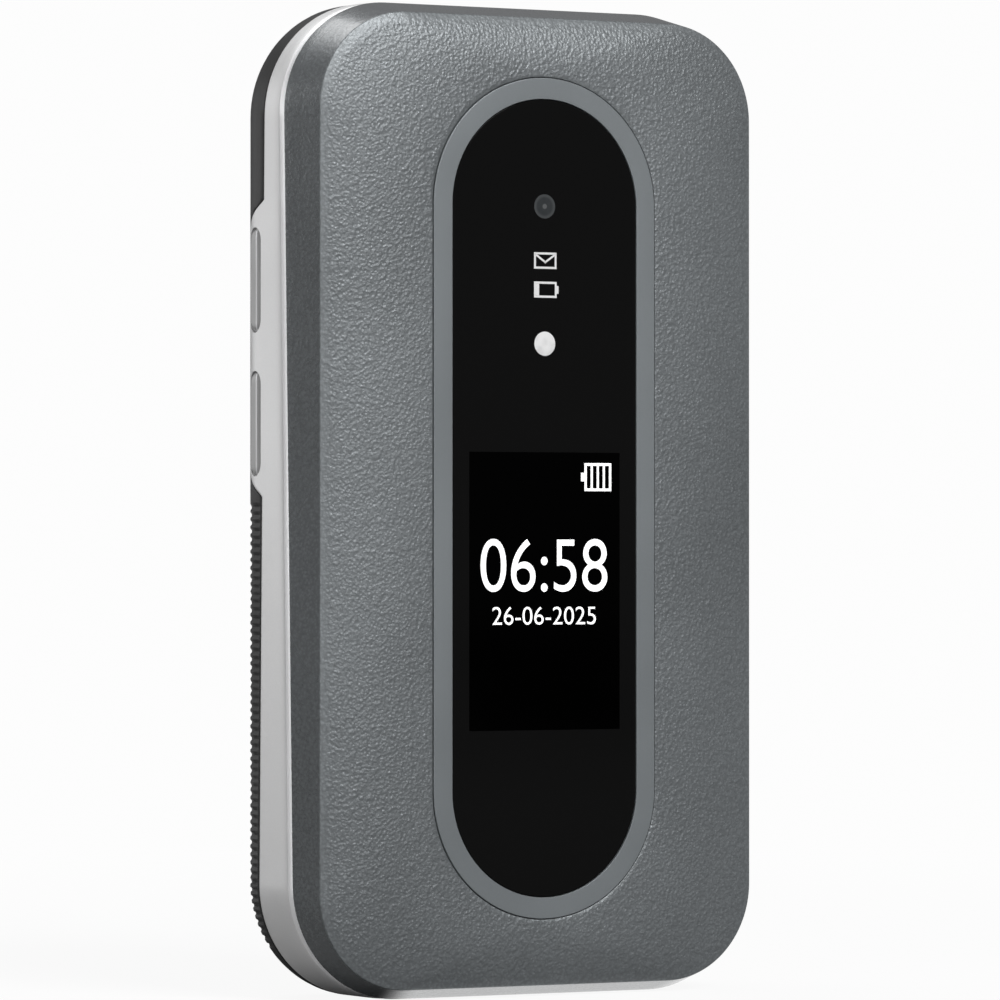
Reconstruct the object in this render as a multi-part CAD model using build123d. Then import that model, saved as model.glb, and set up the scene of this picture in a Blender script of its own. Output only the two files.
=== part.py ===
from build123d import *
import os
from math import atan2, cos, degrees, pi, sin

# A clamshell feature phone, closed, in millimetres.
# It is drawn lying on its back: X across, Y from the free end to the hinge end,
# Z from the back cover to the lid. At the end it is stood up on its free end.

# Outer form of the closed phone
body_width = 58.5
body_length = 110.8
corner_radius = 12.9
back_edge_radius = 6.0
seam_height = 13.1
seam_fall = 2.65
lid_gap = 0.15
lid_inset = 0.1
lid_band = 4.96
crown_height = 1.32
crease_inset = 1.45
crease_inset_hinge_end = 1.55
crease_inset_free_end = 1.27
crease_radius = 10.8

# Sides of the rounds that are kept simple, and flats of the rounded back edge and the crown
dome_sides = 6
small_sides = 8
round_sides = 10
ring_sides = 28
back_edge_flats = 3
crown_flats = 2

# Fits shared by many pieces
slip = 0.05
fit = 0.1
groove = 0.15
key_fit = 0.2

# Silver frame round the sides of the base
frame_wall = 2.2
frame_chamfer = 0.38
split_height = 7.16
split_rise = 1.58
split_groove = 0.12
end_block = 8.0

# Dark back cover
cover_wall = 1.3
speaker_slot_length = 8.0
speaker_slot_width = 0.9
speaker_slot_pitch = 2.0
speaker_slots = 4

# Hinge at the top end
hinge_setback = 3.1
hinge_depth = 5.25
barrel_radius = 3.0
barrel_past_corner = 0.3
hinge_clearance = 0.3
relief_step = 0.1
opening_angle = 150.0
cartridge_radius = 2.0
cartridge_grip = 3.9
cartridge_depth = 7.5
pin_radius = 1.6
pin_grip = 4.3
pin_depth = 6.5

# Keypad deck, circuit board and the sheet of domes under it
deck_sink = 0.55
deck_thickness = 1.2
board_top = 3.3
board_thickness = 0.8
board_margin = 0.6
sheet_thickness = 0.15
sheet_margin = 1.2
dome_radius = 2.0
dome_height = 0.3

# Keys of the keypad
key_proud = 0.35
key_travel = 0.4
key_flange = 0.5
key_flange_thickness = 0.4
key_edge = 0.25
key_clip = 0.9
key_gap_x = 1.8
key_gap_y = 2.0
nub_size = 2.2
keypad_side_margin = 2.4
keypad_low_margin = 10.6
keypad_high_margin = 12.8
nav_radius = 12.0
nav_hole_radius = 6.4
ok_radius = 4.8

# Two long keys in the left side
side_key_length = 11.6
side_key_width = 2.9
side_key_z = 5.45
side_key_upper_drop = 23.0
side_key_lower_drop = 38.95
side_key_depth = 2.9
side_key_edge = 0.2
bump_low_drop = 46.5
bump_high_drop = 15.0
bump_bottom = 3.5
bump_slope = 1.3
bump_round = 0.9
switch_size = 2.4
switch_depth = 1.2
switch_wall = 0.8

# Parts inside the base
chassis_top = 6.8
chassis_thickness = 0.8
well_wall = 0.9
battery_side_margin = 8.8
battery_low_margin = 18.7
battery_high_margin = 31.9
battery_thickness = 4.3
battery_radius = 1.5
contact_width = 8.0
contact_length = 2.6
contact_height = 3.6
usb_width = 8.94
usb_height = 3.2
usb_length = 7.3
usb_wall = 0.3
usb_tongue_width = 6.7
usb_tongue_thickness = 0.7
usb_tongue_length = 4.5
jack_x = -9.5
jack_bore_radius = 1.8
jack_width = 6.0
jack_height = 4.3
jack_length = 14.0
speaker_width = 15.0
speaker_length = 11.0
speaker_thickness = 3.0
speaker_clip = 1.5
speaker_inset = 10.2
mic_radius = 2.0
mic_thickness = 1.0
mic_hole_radius = 0.5
mic_x = 9.0
mic_inset = 4.7
motor_radius = 2.0
motor_length = 9.0
motor_side_margin = 10.8
motor_drop = 16.4
sim_width = 13.0
sim_length = 15.0
sim_thickness = 1.4
sim_x = -8.0
sim_drop = 17.9
shield_width = 26.0
shield_length = 18.0
shield_thickness = 1.3
shield_inset = 26.2
base_screw_side = 5.3
base_screw_drop = 6.4
base_screw_lower_side = 7.3
base_screw_inset = 6.6
screw_head_radius = 1.4
screw_head_thickness = 0.7
screw_radius = 0.8
screw_length = 6.0
boss_radius = 1.8

# Lid: shell, front glass and its ring
lid_wall = 2.4
lid_roof = 0.5
lid_end_block = 7.0
crown_margin = 0.35
glass_width = 23.68
glass_end_margin = 10.98
glass_y = 0.2
glass_thickness = 1.0
glass_ledge = 1.6
ring_width = 2.36
ring_proud = 0.12
outer_display_thickness = 1.36
outer_display_inset = 17.6
outer_display_drop = 11.0
camera_drop = 11.92
camera_size = 7.5
camera_height = 3.0
camera_barrel_radius = 2.6
lens_radius = 1.35
lens_thickness = 0.5
flash_drop = 15.3
flash_radius = 1.35
flash_size = 3.4
flash_thickness = 0.7

# Lid: inner side
inner_cover_thickness = 1.0
inner_glass_side = 3.6
inner_glass_inset = 12.0
inner_glass_drop = 23.4
inner_glass_clip = 1.2
inner_glass_thickness = 0.7
inner_glass_ledge = 1.4
inner_display_thickness = 1.3
lid_board_thickness = 0.5
lid_board_side = 3.0
lid_board_past = 2.0
earpiece_width = 12.0
earpiece_length = 6.0
earpiece_thickness = 1.7
earpiece_inset = 6.8
earpiece_slot_length = 8.0
earpiece_slot_width = 1.1
bumper_radius = 1.6
bumper_height = 0.6
bumper_seat = 0.3
bumper_side = 3.0
bumper_drop = 16.4
bumper_inset = 8.5
lid_screw_side = 6.1
lid_screw_drop = 4.4
lid_screw_lower_side = 9.6
lid_screw_inset = 5.0
lid_screw_head_radius = 1.2
lid_screw_head_thickness = 0.5
lid_screw_radius = 0.6
lid_screw_length = 2.6
lid_boss_radius = 1.5
magnet_radius = 1.5
magnet_thickness = 1.2
magnet_gap = 4.0

# Places that follow from the sizes above
crease_height = seam_height + lid_band
seam_tilt = degrees(atan2(seam_fall, body_length))
split_tilt = degrees(atan2(split_rise, body_length))
seam_plane = Pos(0, 0, seam_height) * Rot(-seam_tilt, 0, 0)
lid_plane = seam_plane * Pos(0, 0, lid_gap)
split_plane = Pos(0, 0, split_height) * Rot(split_tilt, 0, 0)
hinge_y = body_length / 2 - hinge_setback
hinge_axis = seam_plane * Pos(0, hinge_y, -hinge_depth)
hinge_point = hinge_axis.position
end_wall_y = body_length / 2 - end_block
free_wall_y = -body_length / 2 + frame_wall
inner_half = body_width / 2 - frame_wall
barrel_half_length = body_width / 2 - corner_radius + barrel_past_corner
cartridge_reach_out = barrel_half_length + cartridge_grip
cartridge_reach_in = barrel_half_length - cartridge_depth
pin_reach_out = barrel_half_length + pin_grip
pin_reach_in = barrel_half_length - pin_depth

# Keypad layout: three columns, five rows below the ring
keypad_half = inner_half - keypad_side_margin
digit_pitch_x = (2 * keypad_half + key_gap_x) / 3
digit_key_width = digit_pitch_x - key_gap_x
nav_y = end_wall_y - keypad_high_margin - nav_radius
digit_rows = 5
keypad_low_y = free_wall_y + keypad_low_margin
digit_pitch_y = (nav_y - nav_radius - keypad_low_y) / digit_rows
digit_key_height = digit_pitch_y - key_gap_y
top_row_y = nav_y - nav_radius - key_gap_y - digit_key_height / 2
side_pad_width = keypad_half - nav_radius - key_gap_x
side_pad_x = keypad_half - side_pad_width / 2
side_pad_height = nav_radius - key_gap_y - key_clip
upper_pad_y = nav_y + nav_radius / 2
lower_pad_y = nav_y - nav_radius / 2

# Places of the parts in the base
side_key_upper_y = end_wall_y - side_key_upper_drop
side_key_lower_y = end_wall_y - side_key_lower_drop
bump_low_y = end_wall_y - bump_low_drop
bump_high_y = end_wall_y - bump_high_drop
battery_width = 2 * (inner_half - battery_side_margin)
battery_low_y = free_wall_y + battery_low_margin
battery_high_y = end_wall_y - battery_high_margin
battery_length = battery_high_y - battery_low_y
battery_y = (battery_high_y + battery_low_y) / 2
usb_z = chassis_top + fit + usb_height / 2
jack_z = chassis_top + slip + jack_height / 2
speaker_y = free_wall_y + speaker_inset
mic_y = free_wall_y + mic_inset
motor_x = inner_half - motor_side_margin
motor_y = end_wall_y - motor_drop
sim_y = end_wall_y - sim_drop
shield_y = free_wall_y + shield_inset

# Places of the parts in the lid
glass_length = body_length - 2 * glass_end_margin
crown_flat_width = glass_width + 2 * (ring_width + groove + crown_margin)
crown_flat_length = glass_length + 2 * (ring_width + groove + crown_margin)
crown_flat_radius = crown_flat_width / 2 - 2 * crown_margin
camera_y = glass_y + glass_length / 2 - camera_drop
flash_y = camera_y - flash_drop
outer_display_width = glass_width - 2 * (glass_ledge + fit)
outer_display_low_y = glass_y - glass_length / 2 + outer_display_inset
outer_display_high_y = flash_y - outer_display_drop
lid_half = body_width / 2 - lid_wall
lid_free_y = -body_length / 2 + lid_wall
lid_end_y = body_length / 2 - lid_end_block
inner_glass_width = 2 * (lid_half - inner_glass_side)
inner_glass_low_y = lid_free_y + inner_glass_inset
inner_glass_high_y = lid_end_y - inner_glass_drop
inner_glass_length = inner_glass_high_y - inner_glass_low_y
inner_glass_y = (inner_glass_high_y + inner_glass_low_y) / 2
lid_board_width = inner_glass_width - 2 * lid_board_side
lid_board_low_y = inner_glass_low_y + lid_board_side
lid_board_high_y = inner_glass_high_y + lid_board_past
earpiece_y = lid_free_y + earpiece_inset
bumper_x = lid_half - bumper_side
bumper_upper_y = lid_end_y - bumper_drop
bumper_lower_y = lid_free_y + bumper_inset
lid_screw_x = lid_half - lid_screw_side
lid_screw_upper_y = lid_end_y - lid_screw_drop
lid_screw_lower_x = lid_half - lid_screw_lower_side
lid_screw_lower_y = lid_free_y + lid_screw_inset
magnet_x = magnet_gap - lid_screw_lower_x

# Heights that pieces of the base and the lid share
deck_bottom = deck_sink + deck_thickness
dome_top = board_top - sheet_thickness - dome_height
lid_inner_display = inner_cover_thickness + slip
lid_board_bottom = lid_inner_display + inner_display_thickness + slip
glass_bottom = crease_height + crown_height - glass_thickness
reach = body_length


def rounded(width, length, radius):
    """A flat outline with rounded corners, centred on the origin."""
    return RectangleRounded(width, length, radius)


def clipped(width, length, clip):
    """A flat rectangle with its corners cut off at 45 degrees."""
    outline = Rectangle(width, length)
    return chamfer(outline.vertices(), clip)


def stadium(width, length):
    """A flat outline with parallel sides and half-round ends, long way along Y."""
    return Rot(0, 0, 90) * SlotOverall(length, width)


def block(x0, x1, y0, y1, z0, z1):
    """A plain box between two corners."""
    size = Box(x1 - x0, y1 - y0, z1 - z0, align=(Align.MIN, Align.MIN, Align.MIN))
    return Pos(x0, y0, z0) * size


def stud(radius, z0, z1, sides=small_sides):
    """A post with a few flat sides on the Z axis, for small repeats."""
    return Pos(0, 0, z0) * extrude(RegularPolygon(radius, sides), amount=z1 - z0)


def rod(radius, x0, x1):
    """A round rod along the hinge axis, from x0 to x1."""
    bar = Cylinder(radius, x1 - x0, align=(Align.CENTER, Align.CENTER, Align.MIN))
    return Pos(x0, hinge_point.Y, hinge_point.Z) * Rot(0, 90, 0) * bar


def above(place):
    """Everything on the upper side of a plane."""
    align = (Align.CENTER, Align.CENTER, Align.MIN)
    return place * Box(2 * reach, 2 * reach, reach, align=align)


def below(place):
    """Everything on the lower side of a plane."""
    align = (Align.CENTER, Align.CENTER, Align.MAX)
    return place * Box(2 * reach, 2 * reach, reach, align=align)


# Forms that several pieces of the base share


def base_form(inset):
    """The base as one solid, drawn in by an inset, with its back edge rounded in flats."""
    radius = back_edge_radius - inset
    sections = []
    for i in range(back_edge_flats + 1):
        turn = pi / 2 * i / back_edge_flats
        draw = inset + radius * (1 - sin(turn))
        outline = rounded(body_width - 2 * draw, body_length - 2 * draw, corner_radius - draw)
        sections.append(Pos(0, 0, inset + radius * (1 - cos(turn))) * outline)
    return loft(sections + [Pos(0, 0, crease_height) * outline], ruled=True)


def base_room(inset):
    """The room inside the cover: the same form with a flat slope for its rounded edge."""
    outline = rounded(body_width - 2 * inset, body_length - 2 * inset, corner_radius - inset)
    solid = extrude(outline, amount=crease_height - inset)
    slope = (back_edge_radius - inset) / 2
    solid = chamfer(solid.edges().group_by(Axis.Z)[0], slope)
    return Pos(0, 0, inset) * solid


def inner_outline(inset):
    """The outline inside the frame's walls, up to the block that carries the hinge."""
    wall = frame_wall + inset
    outline = rounded(body_width - 2 * wall, body_length - 2 * wall, corner_radius - wall)
    end = Pos(0, end_wall_y - inset) * Rectangle(2 * reach, reach, align=(Align.CENTER, Align.MAX))
    return outline & end


def bump_form(grow):
    """The part of the left side where the frame dips into the cover round the side keys."""
    low, high = bump_low_y - grow, bump_high_y + grow
    foot, top = bump_bottom - grow, chassis_top + frame_wall
    corners = [(low - bump_slope, top), (low, split_height), (low + bump_slope, foot),
               (high - bump_slope, foot), (high, split_height), (high + bump_slope, top)]
    profile = make_face(Polyline(*corners, close=True))
    feet = profile.vertices().sort_by(Axis.Y)[:2]
    profile = fillet(feet, bump_round)
    solid = extrude(Plane.YZ * profile, amount=-body_width / 2)
    keep = block(-reach, -body_width / 2 + frame_wall + grow, -reach, reach, -reach, reach)
    return solid & keep


def hinge_notch():
    """Room that the lid's barrel and neck need in the base from closed to fully open."""
    half = barrel_half_length + key_fit
    room = barrel_radius + hinge_clearance
    neck = block(-half, half, -room, reach, 0, reach)
    opened = Rot(-opening_angle, 0, 0) * block(-half, half, -reach, room + fit, 0, reach)
    return rod(room + fit, -half, half) + hinge_axis * neck + hinge_axis * opened


def end_relief():
    """What rolls off the base's top edge so that the lid's end can turn past it."""
    corner = block(-reach, reach, 0, reach, 0, reach)
    drum = Rot(0, 90, 0) * Cylinder(hinge_depth - relief_step, 2 * reach)
    return hinge_axis * (corner - drum)


def free_end_opening(outline, x, z, depth):
    """A hole through the wall at the free end, for a socket."""
    mouth = Plane(origin=(x, -body_length / 2 - fit, z), x_dir=(1, 0, 0), z_dir=(0, 1, 0))
    return extrude(mouth * outline, amount=depth)


# The base: frame, cover, deck and chassis


def make_base_frame():
    """Silver frame: the side walls, the dip round the side keys and the hinge ears."""
    solid = base_form(0) - above(seam_plane)
    rim = solid.faces().sort_by(Axis.Z)[-1].outer_wire().edges()
    solid = chamfer(rim, frame_chamfer) - below(split_plane)
    ears = base_room(cover_wall + fit) - above(split_plane)
    ears = ears & block(-reach, reach, end_wall_y, reach, 0, reach)
    solid = solid + bump_solid() + ears
    solid = solid - extrude(inner_outline(0), amount=reach)
    solid = solid - hinge_notch() - end_relief()
    solid = solid - rod(cartridge_radius + slip, -cartridge_reach_out, 0)
    solid = solid - rod(pin_radius + slip, 0, pin_reach_out)
    usb_hole = SlotOverall(usb_width + 2 * slip, usb_height + 2 * slip)
    solid = solid - free_end_opening(usb_hole, 0, usb_z, frame_wall + 2 * fit)
    solid = solid - free_end_opening(Circle(jack_bore_radius), jack_x, jack_z, frame_wall + 2 * fit)
    for y in (side_key_upper_y, side_key_lower_y):
        solid = solid - side_key_form(y, fit, frame_wall + fit)
    return solid


def bump_solid():
    """The dip's own wall, with the outer skin of the base."""
    return base_form(0) & bump_form(0)


def make_back_cover():
    """Dark back cover: a tray with a rounded edge and slots over the loudspeaker."""
    solid = base_form(0) - above(Pos(0, 0, -split_groove) * split_plane)
    solid = solid - base_room(cover_wall)
    solid = solid - bump_form(split_groove) - hinge_notch()
    solid = solid - rod(cartridge_radius + fit, -cartridge_reach_out - fit, 0)
    solid = solid - rod(pin_radius + fit, 0, pin_reach_out + fit)
    slot = stadium(speaker_slot_width, speaker_slot_length)
    first = -(speaker_slots - 1) / 2 * speaker_slot_pitch
    for i in range(speaker_slots):
        hole = extrude(slot, amount=cover_wall + fit)
        solid = solid - Pos(first + i * speaker_slot_pitch, speaker_y, -slip) * hole
    return solid


def base_screw_places():
    """Where the screws of the base stand."""
    upper = (inner_half - base_screw_side, end_wall_y - base_screw_drop)
    lower = (inner_half - base_screw_lower_side, free_wall_y + base_screw_inset)
    return [(side * x, y) for side in (-1, 1) for x, y in (upper, lower)]


def make_inner_chassis():
    """Black plate between battery and board, with the walls of the battery well."""
    bottom = chassis_top - chassis_thickness
    outline = inner_outline(fit)
    plate = Pos(0, 0, bottom) * extrude(outline, amount=chassis_thickness)
    gap = key_fit
    wide, long = battery_width + 2 * gap, battery_length + 2 * gap
    outer = clipped(wide + 2 * well_wall, long + 2 * well_wall, battery_radius + well_wall / 2)
    inner = clipped(wide, long, battery_radius)
    foot = cover_wall + slip
    well = Pos(0, battery_y, foot) * extrude(outer - inner, amount=bottom - foot)
    solid = plate + well
    for x, y in base_screw_places():
        solid = solid - Pos(x, y) * stud(screw_radius + fit, 0, reach)
    switch_back = switch_front() + switch_depth + slip
    edge = block(-reach, switch_back, bump_low_y, bump_high_y, 0, reach)
    wall = block(switch_back, switch_back + switch_wall, bump_low_y, bump_high_y,
                 side_key_z - side_key_width / 2, chassis_top)
    solid = solid - edge + wall
    top = battery_y + battery_length / 2
    slot = block(-contact_width / 2 - fit, contact_width / 2 + fit, top,
                 top + gap + well_wall + fit, 0, chassis_top - chassis_thickness)
    return solid - slot


def key_outlines():
    """Every key of the keypad: name, place on the deck and outline."""
    keys = []
    names = [("call_key", "clear_key", "end_key"), ("key_1", "key_2", "key_3"),
             ("key_4", "key_5", "key_6"), ("key_7", "key_8", "key_9"),
             ("key_star", "key_0", "key_hash")]
    digit = clipped(digit_key_width, digit_key_height, key_clip)
    for row, row_names in enumerate(names):
        for column, name in enumerate(row_names):
            x = (column - 1) * digit_pitch_x
            keys.append((name, x, top_row_y - row * digit_pitch_y, digit))
    pad = clipped(side_pad_width, side_pad_height, key_clip)
    keys.append(("left_soft_key", -side_pad_x, upper_pad_y, pad))
    keys.append(("right_soft_key", side_pad_x, upper_pad_y, pad))
    keys.append(("mail_key", -side_pad_x, lower_pad_y, pad))
    keys.append(("menu_key", side_pad_x, lower_pad_y, pad))
    keys.append(("ok_key", 0, nav_y, RegularPolygon(ok_radius, ring_sides)))
    return keys


def make_keypad_deck():
    """Deck that the keys stand in, with screw bosses on its lower side."""
    solid = Pos(0, 0, -deck_bottom) * extrude(inner_outline(fit), amount=deck_thickness)
    for name, x, y, outline in key_outlines():
        hole = extrude(offset(outline, key_fit, kind=Kind.INTERSECTION), amount=reach)
        solid = solid - Pos(x, y, -reach / 2) * hole
    solid = solid - Pos(0, nav_y) * stud(nav_radius + key_fit, -reach, 0, ring_sides)
    bar = nav_hole_radius - ok_radius - 2 * key_fit
    opening = RegularPolygon(ok_radius + key_fit, ring_sides)
    bridge = RegularPolygon(ok_radius + key_fit + bar, ring_sides) - opening
    solid = solid + Pos(0, nav_y, -deck_bottom) * extrude(bridge, amount=deck_thickness)
    rail = block(-nav_radius - 2 * key_fit, nav_radius + 2 * key_fit, -bar / 2, bar / 2,
                 -deck_bottom, -deck_bottom + key_flange_thickness)
    rail = rail - stud(ok_radius + key_fit, -reach, 0, ring_sides)
    solid = solid + Pos(0, nav_y) * rail
    solid = solid - Pos(mic_x, mic_y) * stud(mic_hole_radius, -reach, 0)
    solid = seam_plane * solid
    for x, y in base_screw_places():
        boss = Pos(x, y) * stud(boss_radius, chassis_top + slip, seam_height - deck_sink - slip)
        solid = solid + (boss & below(seam_plane * Pos(0, 0, -deck_sink - slip)))
        solid = solid - Pos(x, y) * stud(screw_radius, 0, chassis_top + screw_length - chassis_thickness)
    return solid


def make_main_board():
    """Main circuit board under the keys."""
    outline = inner_outline(board_margin)
    solid = extrude(outline, amount=board_thickness)
    solid = Pos(0, 0, -board_top - board_thickness) * solid
    for x, y in base_screw_places():
        solid = solid - Pos(x, y) * stud(boss_radius + fit + slip, -reach, 0)
    solid = seam_plane * solid
    half = jack_width / 2 + fit
    end = free_wall_y + jack_length + 2 * fit
    return solid - block(jack_x - half, jack_x + half, -reach, end, 0, reach)


def dome_places():
    """Where the domes stand: one under each key and four under the ring."""
    places = [(x, y) for name, x, y, outline in key_outlines()]
    mid = (nav_radius + nav_hole_radius) / 2
    return places + [(0, nav_y + mid), (0, nav_y - mid), (mid, nav_y), (-mid, nav_y)]


def make_key_dome_sheet():
    """Thin sheet of snap domes on the board, one under each key."""
    margin = dome_radius + sheet_margin
    low = keypad_low_y
    sheet = block(-side_pad_x - margin, side_pad_x + margin, low, nav_y + nav_radius, 0, sheet_thickness)
    for x, y in dome_places():
        sheet = sheet + Pos(x, y) * stud(dome_radius, 0, sheet_thickness + dome_height, dome_sides)
    sheet = seam_plane * Pos(0, 0, -board_top) * sheet
    half = jack_width / 2 + fit
    end = free_wall_y + jack_length + 2 * fit
    return sheet - block(jack_x - half, jack_x + half, -reach, end, 0, reach)


# Keys


def key_nub():
    """The small square foot that presses a dome."""
    nub_end = dome_top - key_travel - slip
    half = nub_size / 2
    return block(-half, half, -half, half, -nub_end, -deck_bottom - slip)


def key_solid(outline):
    """One key: cap with a softened edge, flange under the deck and a nub over its dome."""
    flange_top = deck_bottom + slip
    flange_bottom = flange_top + key_flange_thickness
    top = deck_sink - key_proud
    cap = Pos(0, 0, -flange_bottom) * extrude(outline, amount=flange_bottom - top)
    cap = chamfer(cap.faces().sort_by(Axis.Z)[-1].edges(), key_edge)
    wide = offset(outline, key_flange, kind=Kind.INTERSECTION)
    flange = Pos(0, 0, -flange_bottom) * extrude(wide, amount=key_flange_thickness)
    return cap + flange + key_nub()


def make_keypad_keys():
    """All keys that are pressed with one nub each."""
    keys = {}
    for name, x, y, outline in key_outlines():
        keys[name] = seam_plane * Pos(x, y) * key_solid(outline)
    return keys


def make_nav_ring():
    """Ring key round the OK key, with a nub over each of its four domes."""
    opening = RegularPolygon(nav_hole_radius, ring_sides)
    outline = RegularPolygon(nav_radius, ring_sides) - opening
    mid = (nav_radius + nav_hole_radius) / 2
    top = deck_sink - key_proud
    flange_bottom = deck_bottom + slip + key_flange_thickness
    ring = Pos(0, 0, -flange_bottom) * extrude(outline, amount=flange_bottom - top)
    ring = chamfer(ring.faces().sort_by(Axis.Z)[-1].outer_wire().edges(), key_edge)
    wide = RegularPolygon(nav_radius + key_flange, ring_sides) - opening
    ring = ring + Pos(0, 0, -flange_bottom) * extrude(wide, amount=key_flange_thickness)
    for x, y in ((0, mid), (0, -mid), (mid, 0), (-mid, 0)):
        ring = ring + Pos(x, y) * key_nub()
    bar = nav_hole_radius - ok_radius
    slot = block(-reach, reach, -bar / 2, bar / 2, -reach, -deck_bottom + 2 * key_flange_thickness)
    return seam_plane * Pos(0, nav_y) * (ring - slot)


def side_key_form(y, grow, depth):
    """A round-ended bar along X at the left side, from the outside inwards."""
    outline = SlotOverall(side_key_length + 2 * grow, side_key_width + 2 * grow)
    mouth = Plane(origin=(-body_width / 2 - fit, y, side_key_z), x_dir=(0, 1, 0), z_dir=(1, 0, 0))
    return extrude(mouth * outline, amount=depth + fit)


def make_side_key(y):
    """One long side key, flush with the rounded edge of the base, held by a flange."""
    bar = side_key_form(y, 0, side_key_depth)
    bar = bar & base_form(0)
    face = bar.faces().sort_by(Axis.X)[0]
    bar = chamfer(face.outer_wire().edges(), side_key_edge)
    half_y, half_z = side_key_length / 2 + key_flange, side_key_width / 2 + key_flange
    flange = block(-body_width / 2 + frame_wall + fit, -body_width / 2 + side_key_depth,
                   y - half_y, y + half_y, side_key_z - half_z, side_key_z + half_z)
    return bar + flange


def switch_front():
    """Where the side switches begin: just past the pressed keys."""
    return -body_width / 2 + side_key_depth + key_travel + slip


def make_side_switches():
    """Two small switches behind the side keys, on the chassis."""
    x = switch_front()
    half = switch_size / 2
    return [block(x, x + switch_depth, y - half, y + half, side_key_z - half, side_key_z + half)
            for y in (side_key_upper_y, side_key_lower_y)]


# Parts inside the base


def make_battery():
    """Flat battery in its well."""
    outline = clipped(battery_width, battery_length, battery_radius)
    return Pos(0, battery_y, cover_wall + slip) * extrude(outline, amount=battery_thickness)


def make_battery_contacts():
    """Block of three spring pins at the battery's upper edge."""
    y = battery_y + battery_length / 2 + slip
    z = chassis_top - chassis_thickness - slip
    body = block(-contact_width / 2, contact_width / 2, y + key_fit, y + key_fit + contact_length,
                 z - contact_height, z)
    pitch = contact_width / 3
    for i in (-1, 0, 1):
        pin = Rot(90, 0, 0) * stud(pitch / 4, 0, contact_length / 2)
        body = body + Pos(i * pitch, y + contact_length / 2, z - contact_height / 2) * pin
    return body


def make_usb_socket():
    """Charging socket: a rounded metal shell with its tongue."""
    outer = SlotOverall(usb_width, usb_height)
    inner = SlotOverall(usb_width - 2 * usb_wall, usb_height - 2 * usb_wall)
    mouth = Plane(origin=(0, -body_length / 2 + frame_chamfer, usb_z), x_dir=(1, 0, 0), z_dir=(0, 1, 0))
    shell = extrude(mouth * outer, amount=usb_length)
    cavity = extrude(mouth * inner, amount=usb_length - 2 * usb_wall)
    start = usb_length - usb_tongue_length
    tongue_face = mouth * Pos(0, 0, start - usb_wall) * Rectangle(usb_tongue_width, usb_tongue_thickness)
    return shell - cavity + extrude(tongue_face, amount=usb_tongue_length)


def make_audio_jack():
    """Headphone socket: a block with a round bore."""
    y0 = free_wall_y + slip
    half = jack_width / 2
    body = block(jack_x - half, jack_x + half, y0, y0 + jack_length,
                 jack_z - jack_height / 2, jack_z + jack_height / 2)
    bore = free_end_opening(Circle(jack_bore_radius), jack_x, jack_z,
                            frame_wall + jack_length - usb_wall)
    return body - bore


def make_loudspeaker():
    """Loudspeaker over the slots of the back cover."""
    outline = clipped(speaker_width, speaker_length, speaker_clip)
    return Pos(0, speaker_y, cover_wall + slip) * extrude(outline, amount=speaker_thickness)


def make_microphone():
    """Microphone capsule under its hole in the deck."""
    top = deck_bottom + slip
    return seam_plane * Pos(mic_x, mic_y) * stud(mic_radius, -top - mic_thickness, -top, round_sides)


def make_vibration_motor():
    """Small vibration motor lying in the upper part of the base."""
    z = chassis_top - chassis_thickness - slip - motor_radius
    can = stud(motor_radius, -motor_length / 2, motor_length / 2, round_sides)
    return Pos(motor_x, motor_y, z) * Rot(90, 0, 0) * can


def make_sim_holder():
    """Card holder under the chassis, above the battery."""
    z = chassis_top - chassis_thickness - slip - sim_thickness
    half_x, half_y = sim_width / 2, sim_length / 2
    body = block(sim_x - half_x, sim_x + half_x, sim_y - half_y, sim_y + half_y, z, z + sim_thickness)
    wall = sim_thickness / 4
    slot = block(sim_x - half_x + wall, sim_x + half_x - wall, sim_y - half_y - wall,
                 sim_y + half_y - wall, z + wall, z + sim_thickness - wall)
    return body - slot


def make_shield_can():
    """Sheet-metal can over the radio parts, on the board's lower side."""
    outline = clipped(shield_width, shield_length, shield_thickness)
    top = board_top + board_thickness + slip
    place = seam_plane * Pos(0, shield_y, -top - shield_thickness)
    return place * extrude(outline, amount=shield_thickness)


def make_base_screws():
    """Screws that hold chassis and deck together."""
    seat = chassis_top - chassis_thickness
    screw = stud(screw_head_radius, seat - screw_head_thickness, seat, round_sides)
    screw = screw + stud(screw_radius, seat, seat + screw_length - screw_radius)
    return [Pos(x, y) * screw for x, y in base_screw_places()]


def make_hinge_cartridge():
    """Spring cartridge of the hinge, in the left ear and the left end of the barrel."""
    return rod(cartridge_radius, -cartridge_reach_out, -cartridge_reach_in)


def make_hinge_pin():
    """Plain pin of the hinge, in the right ear and the right end of the barrel."""
    return rod(pin_radius, pin_reach_in, pin_reach_out)


# The lid


def crown_sections(count):
    """Outlines that lead from the crease up to the flat round the ring."""
    crease_width = body_width - 2 * crease_inset
    crease_length = body_length - crease_inset_hinge_end - crease_inset_free_end
    crease_y = (crease_inset_free_end - crease_inset_hinge_end) / 2
    sections = []
    for i in range(count + 1):
        t = i / count
        width = crease_width + (crown_flat_width - crease_width) * t
        length = crease_length + (crown_flat_length - crease_length) * t
        radius = crease_radius + (crown_flat_radius - crease_radius) * t
        y = crease_y + (glass_y - crease_y) * t
        rise = crown_height * (1 - (1 - t) ** 2)
        sections.append(Pos(0, y, crease_height + rise) * rounded(width, length, radius))
    return sections


def lid_form():
    """The lid as one solid: a flaring band below the crease and a soft crown above it."""
    sections = crown_sections(crown_flats)
    shrink = 2 * lid_inset
    seam = lid_plane * rounded(body_width - shrink, body_length - shrink, corner_radius - lid_inset)
    band = loft([seam, sections[0]], ruled=True)
    crown = loft(sections, ruled=True)
    return band + crown


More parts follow.
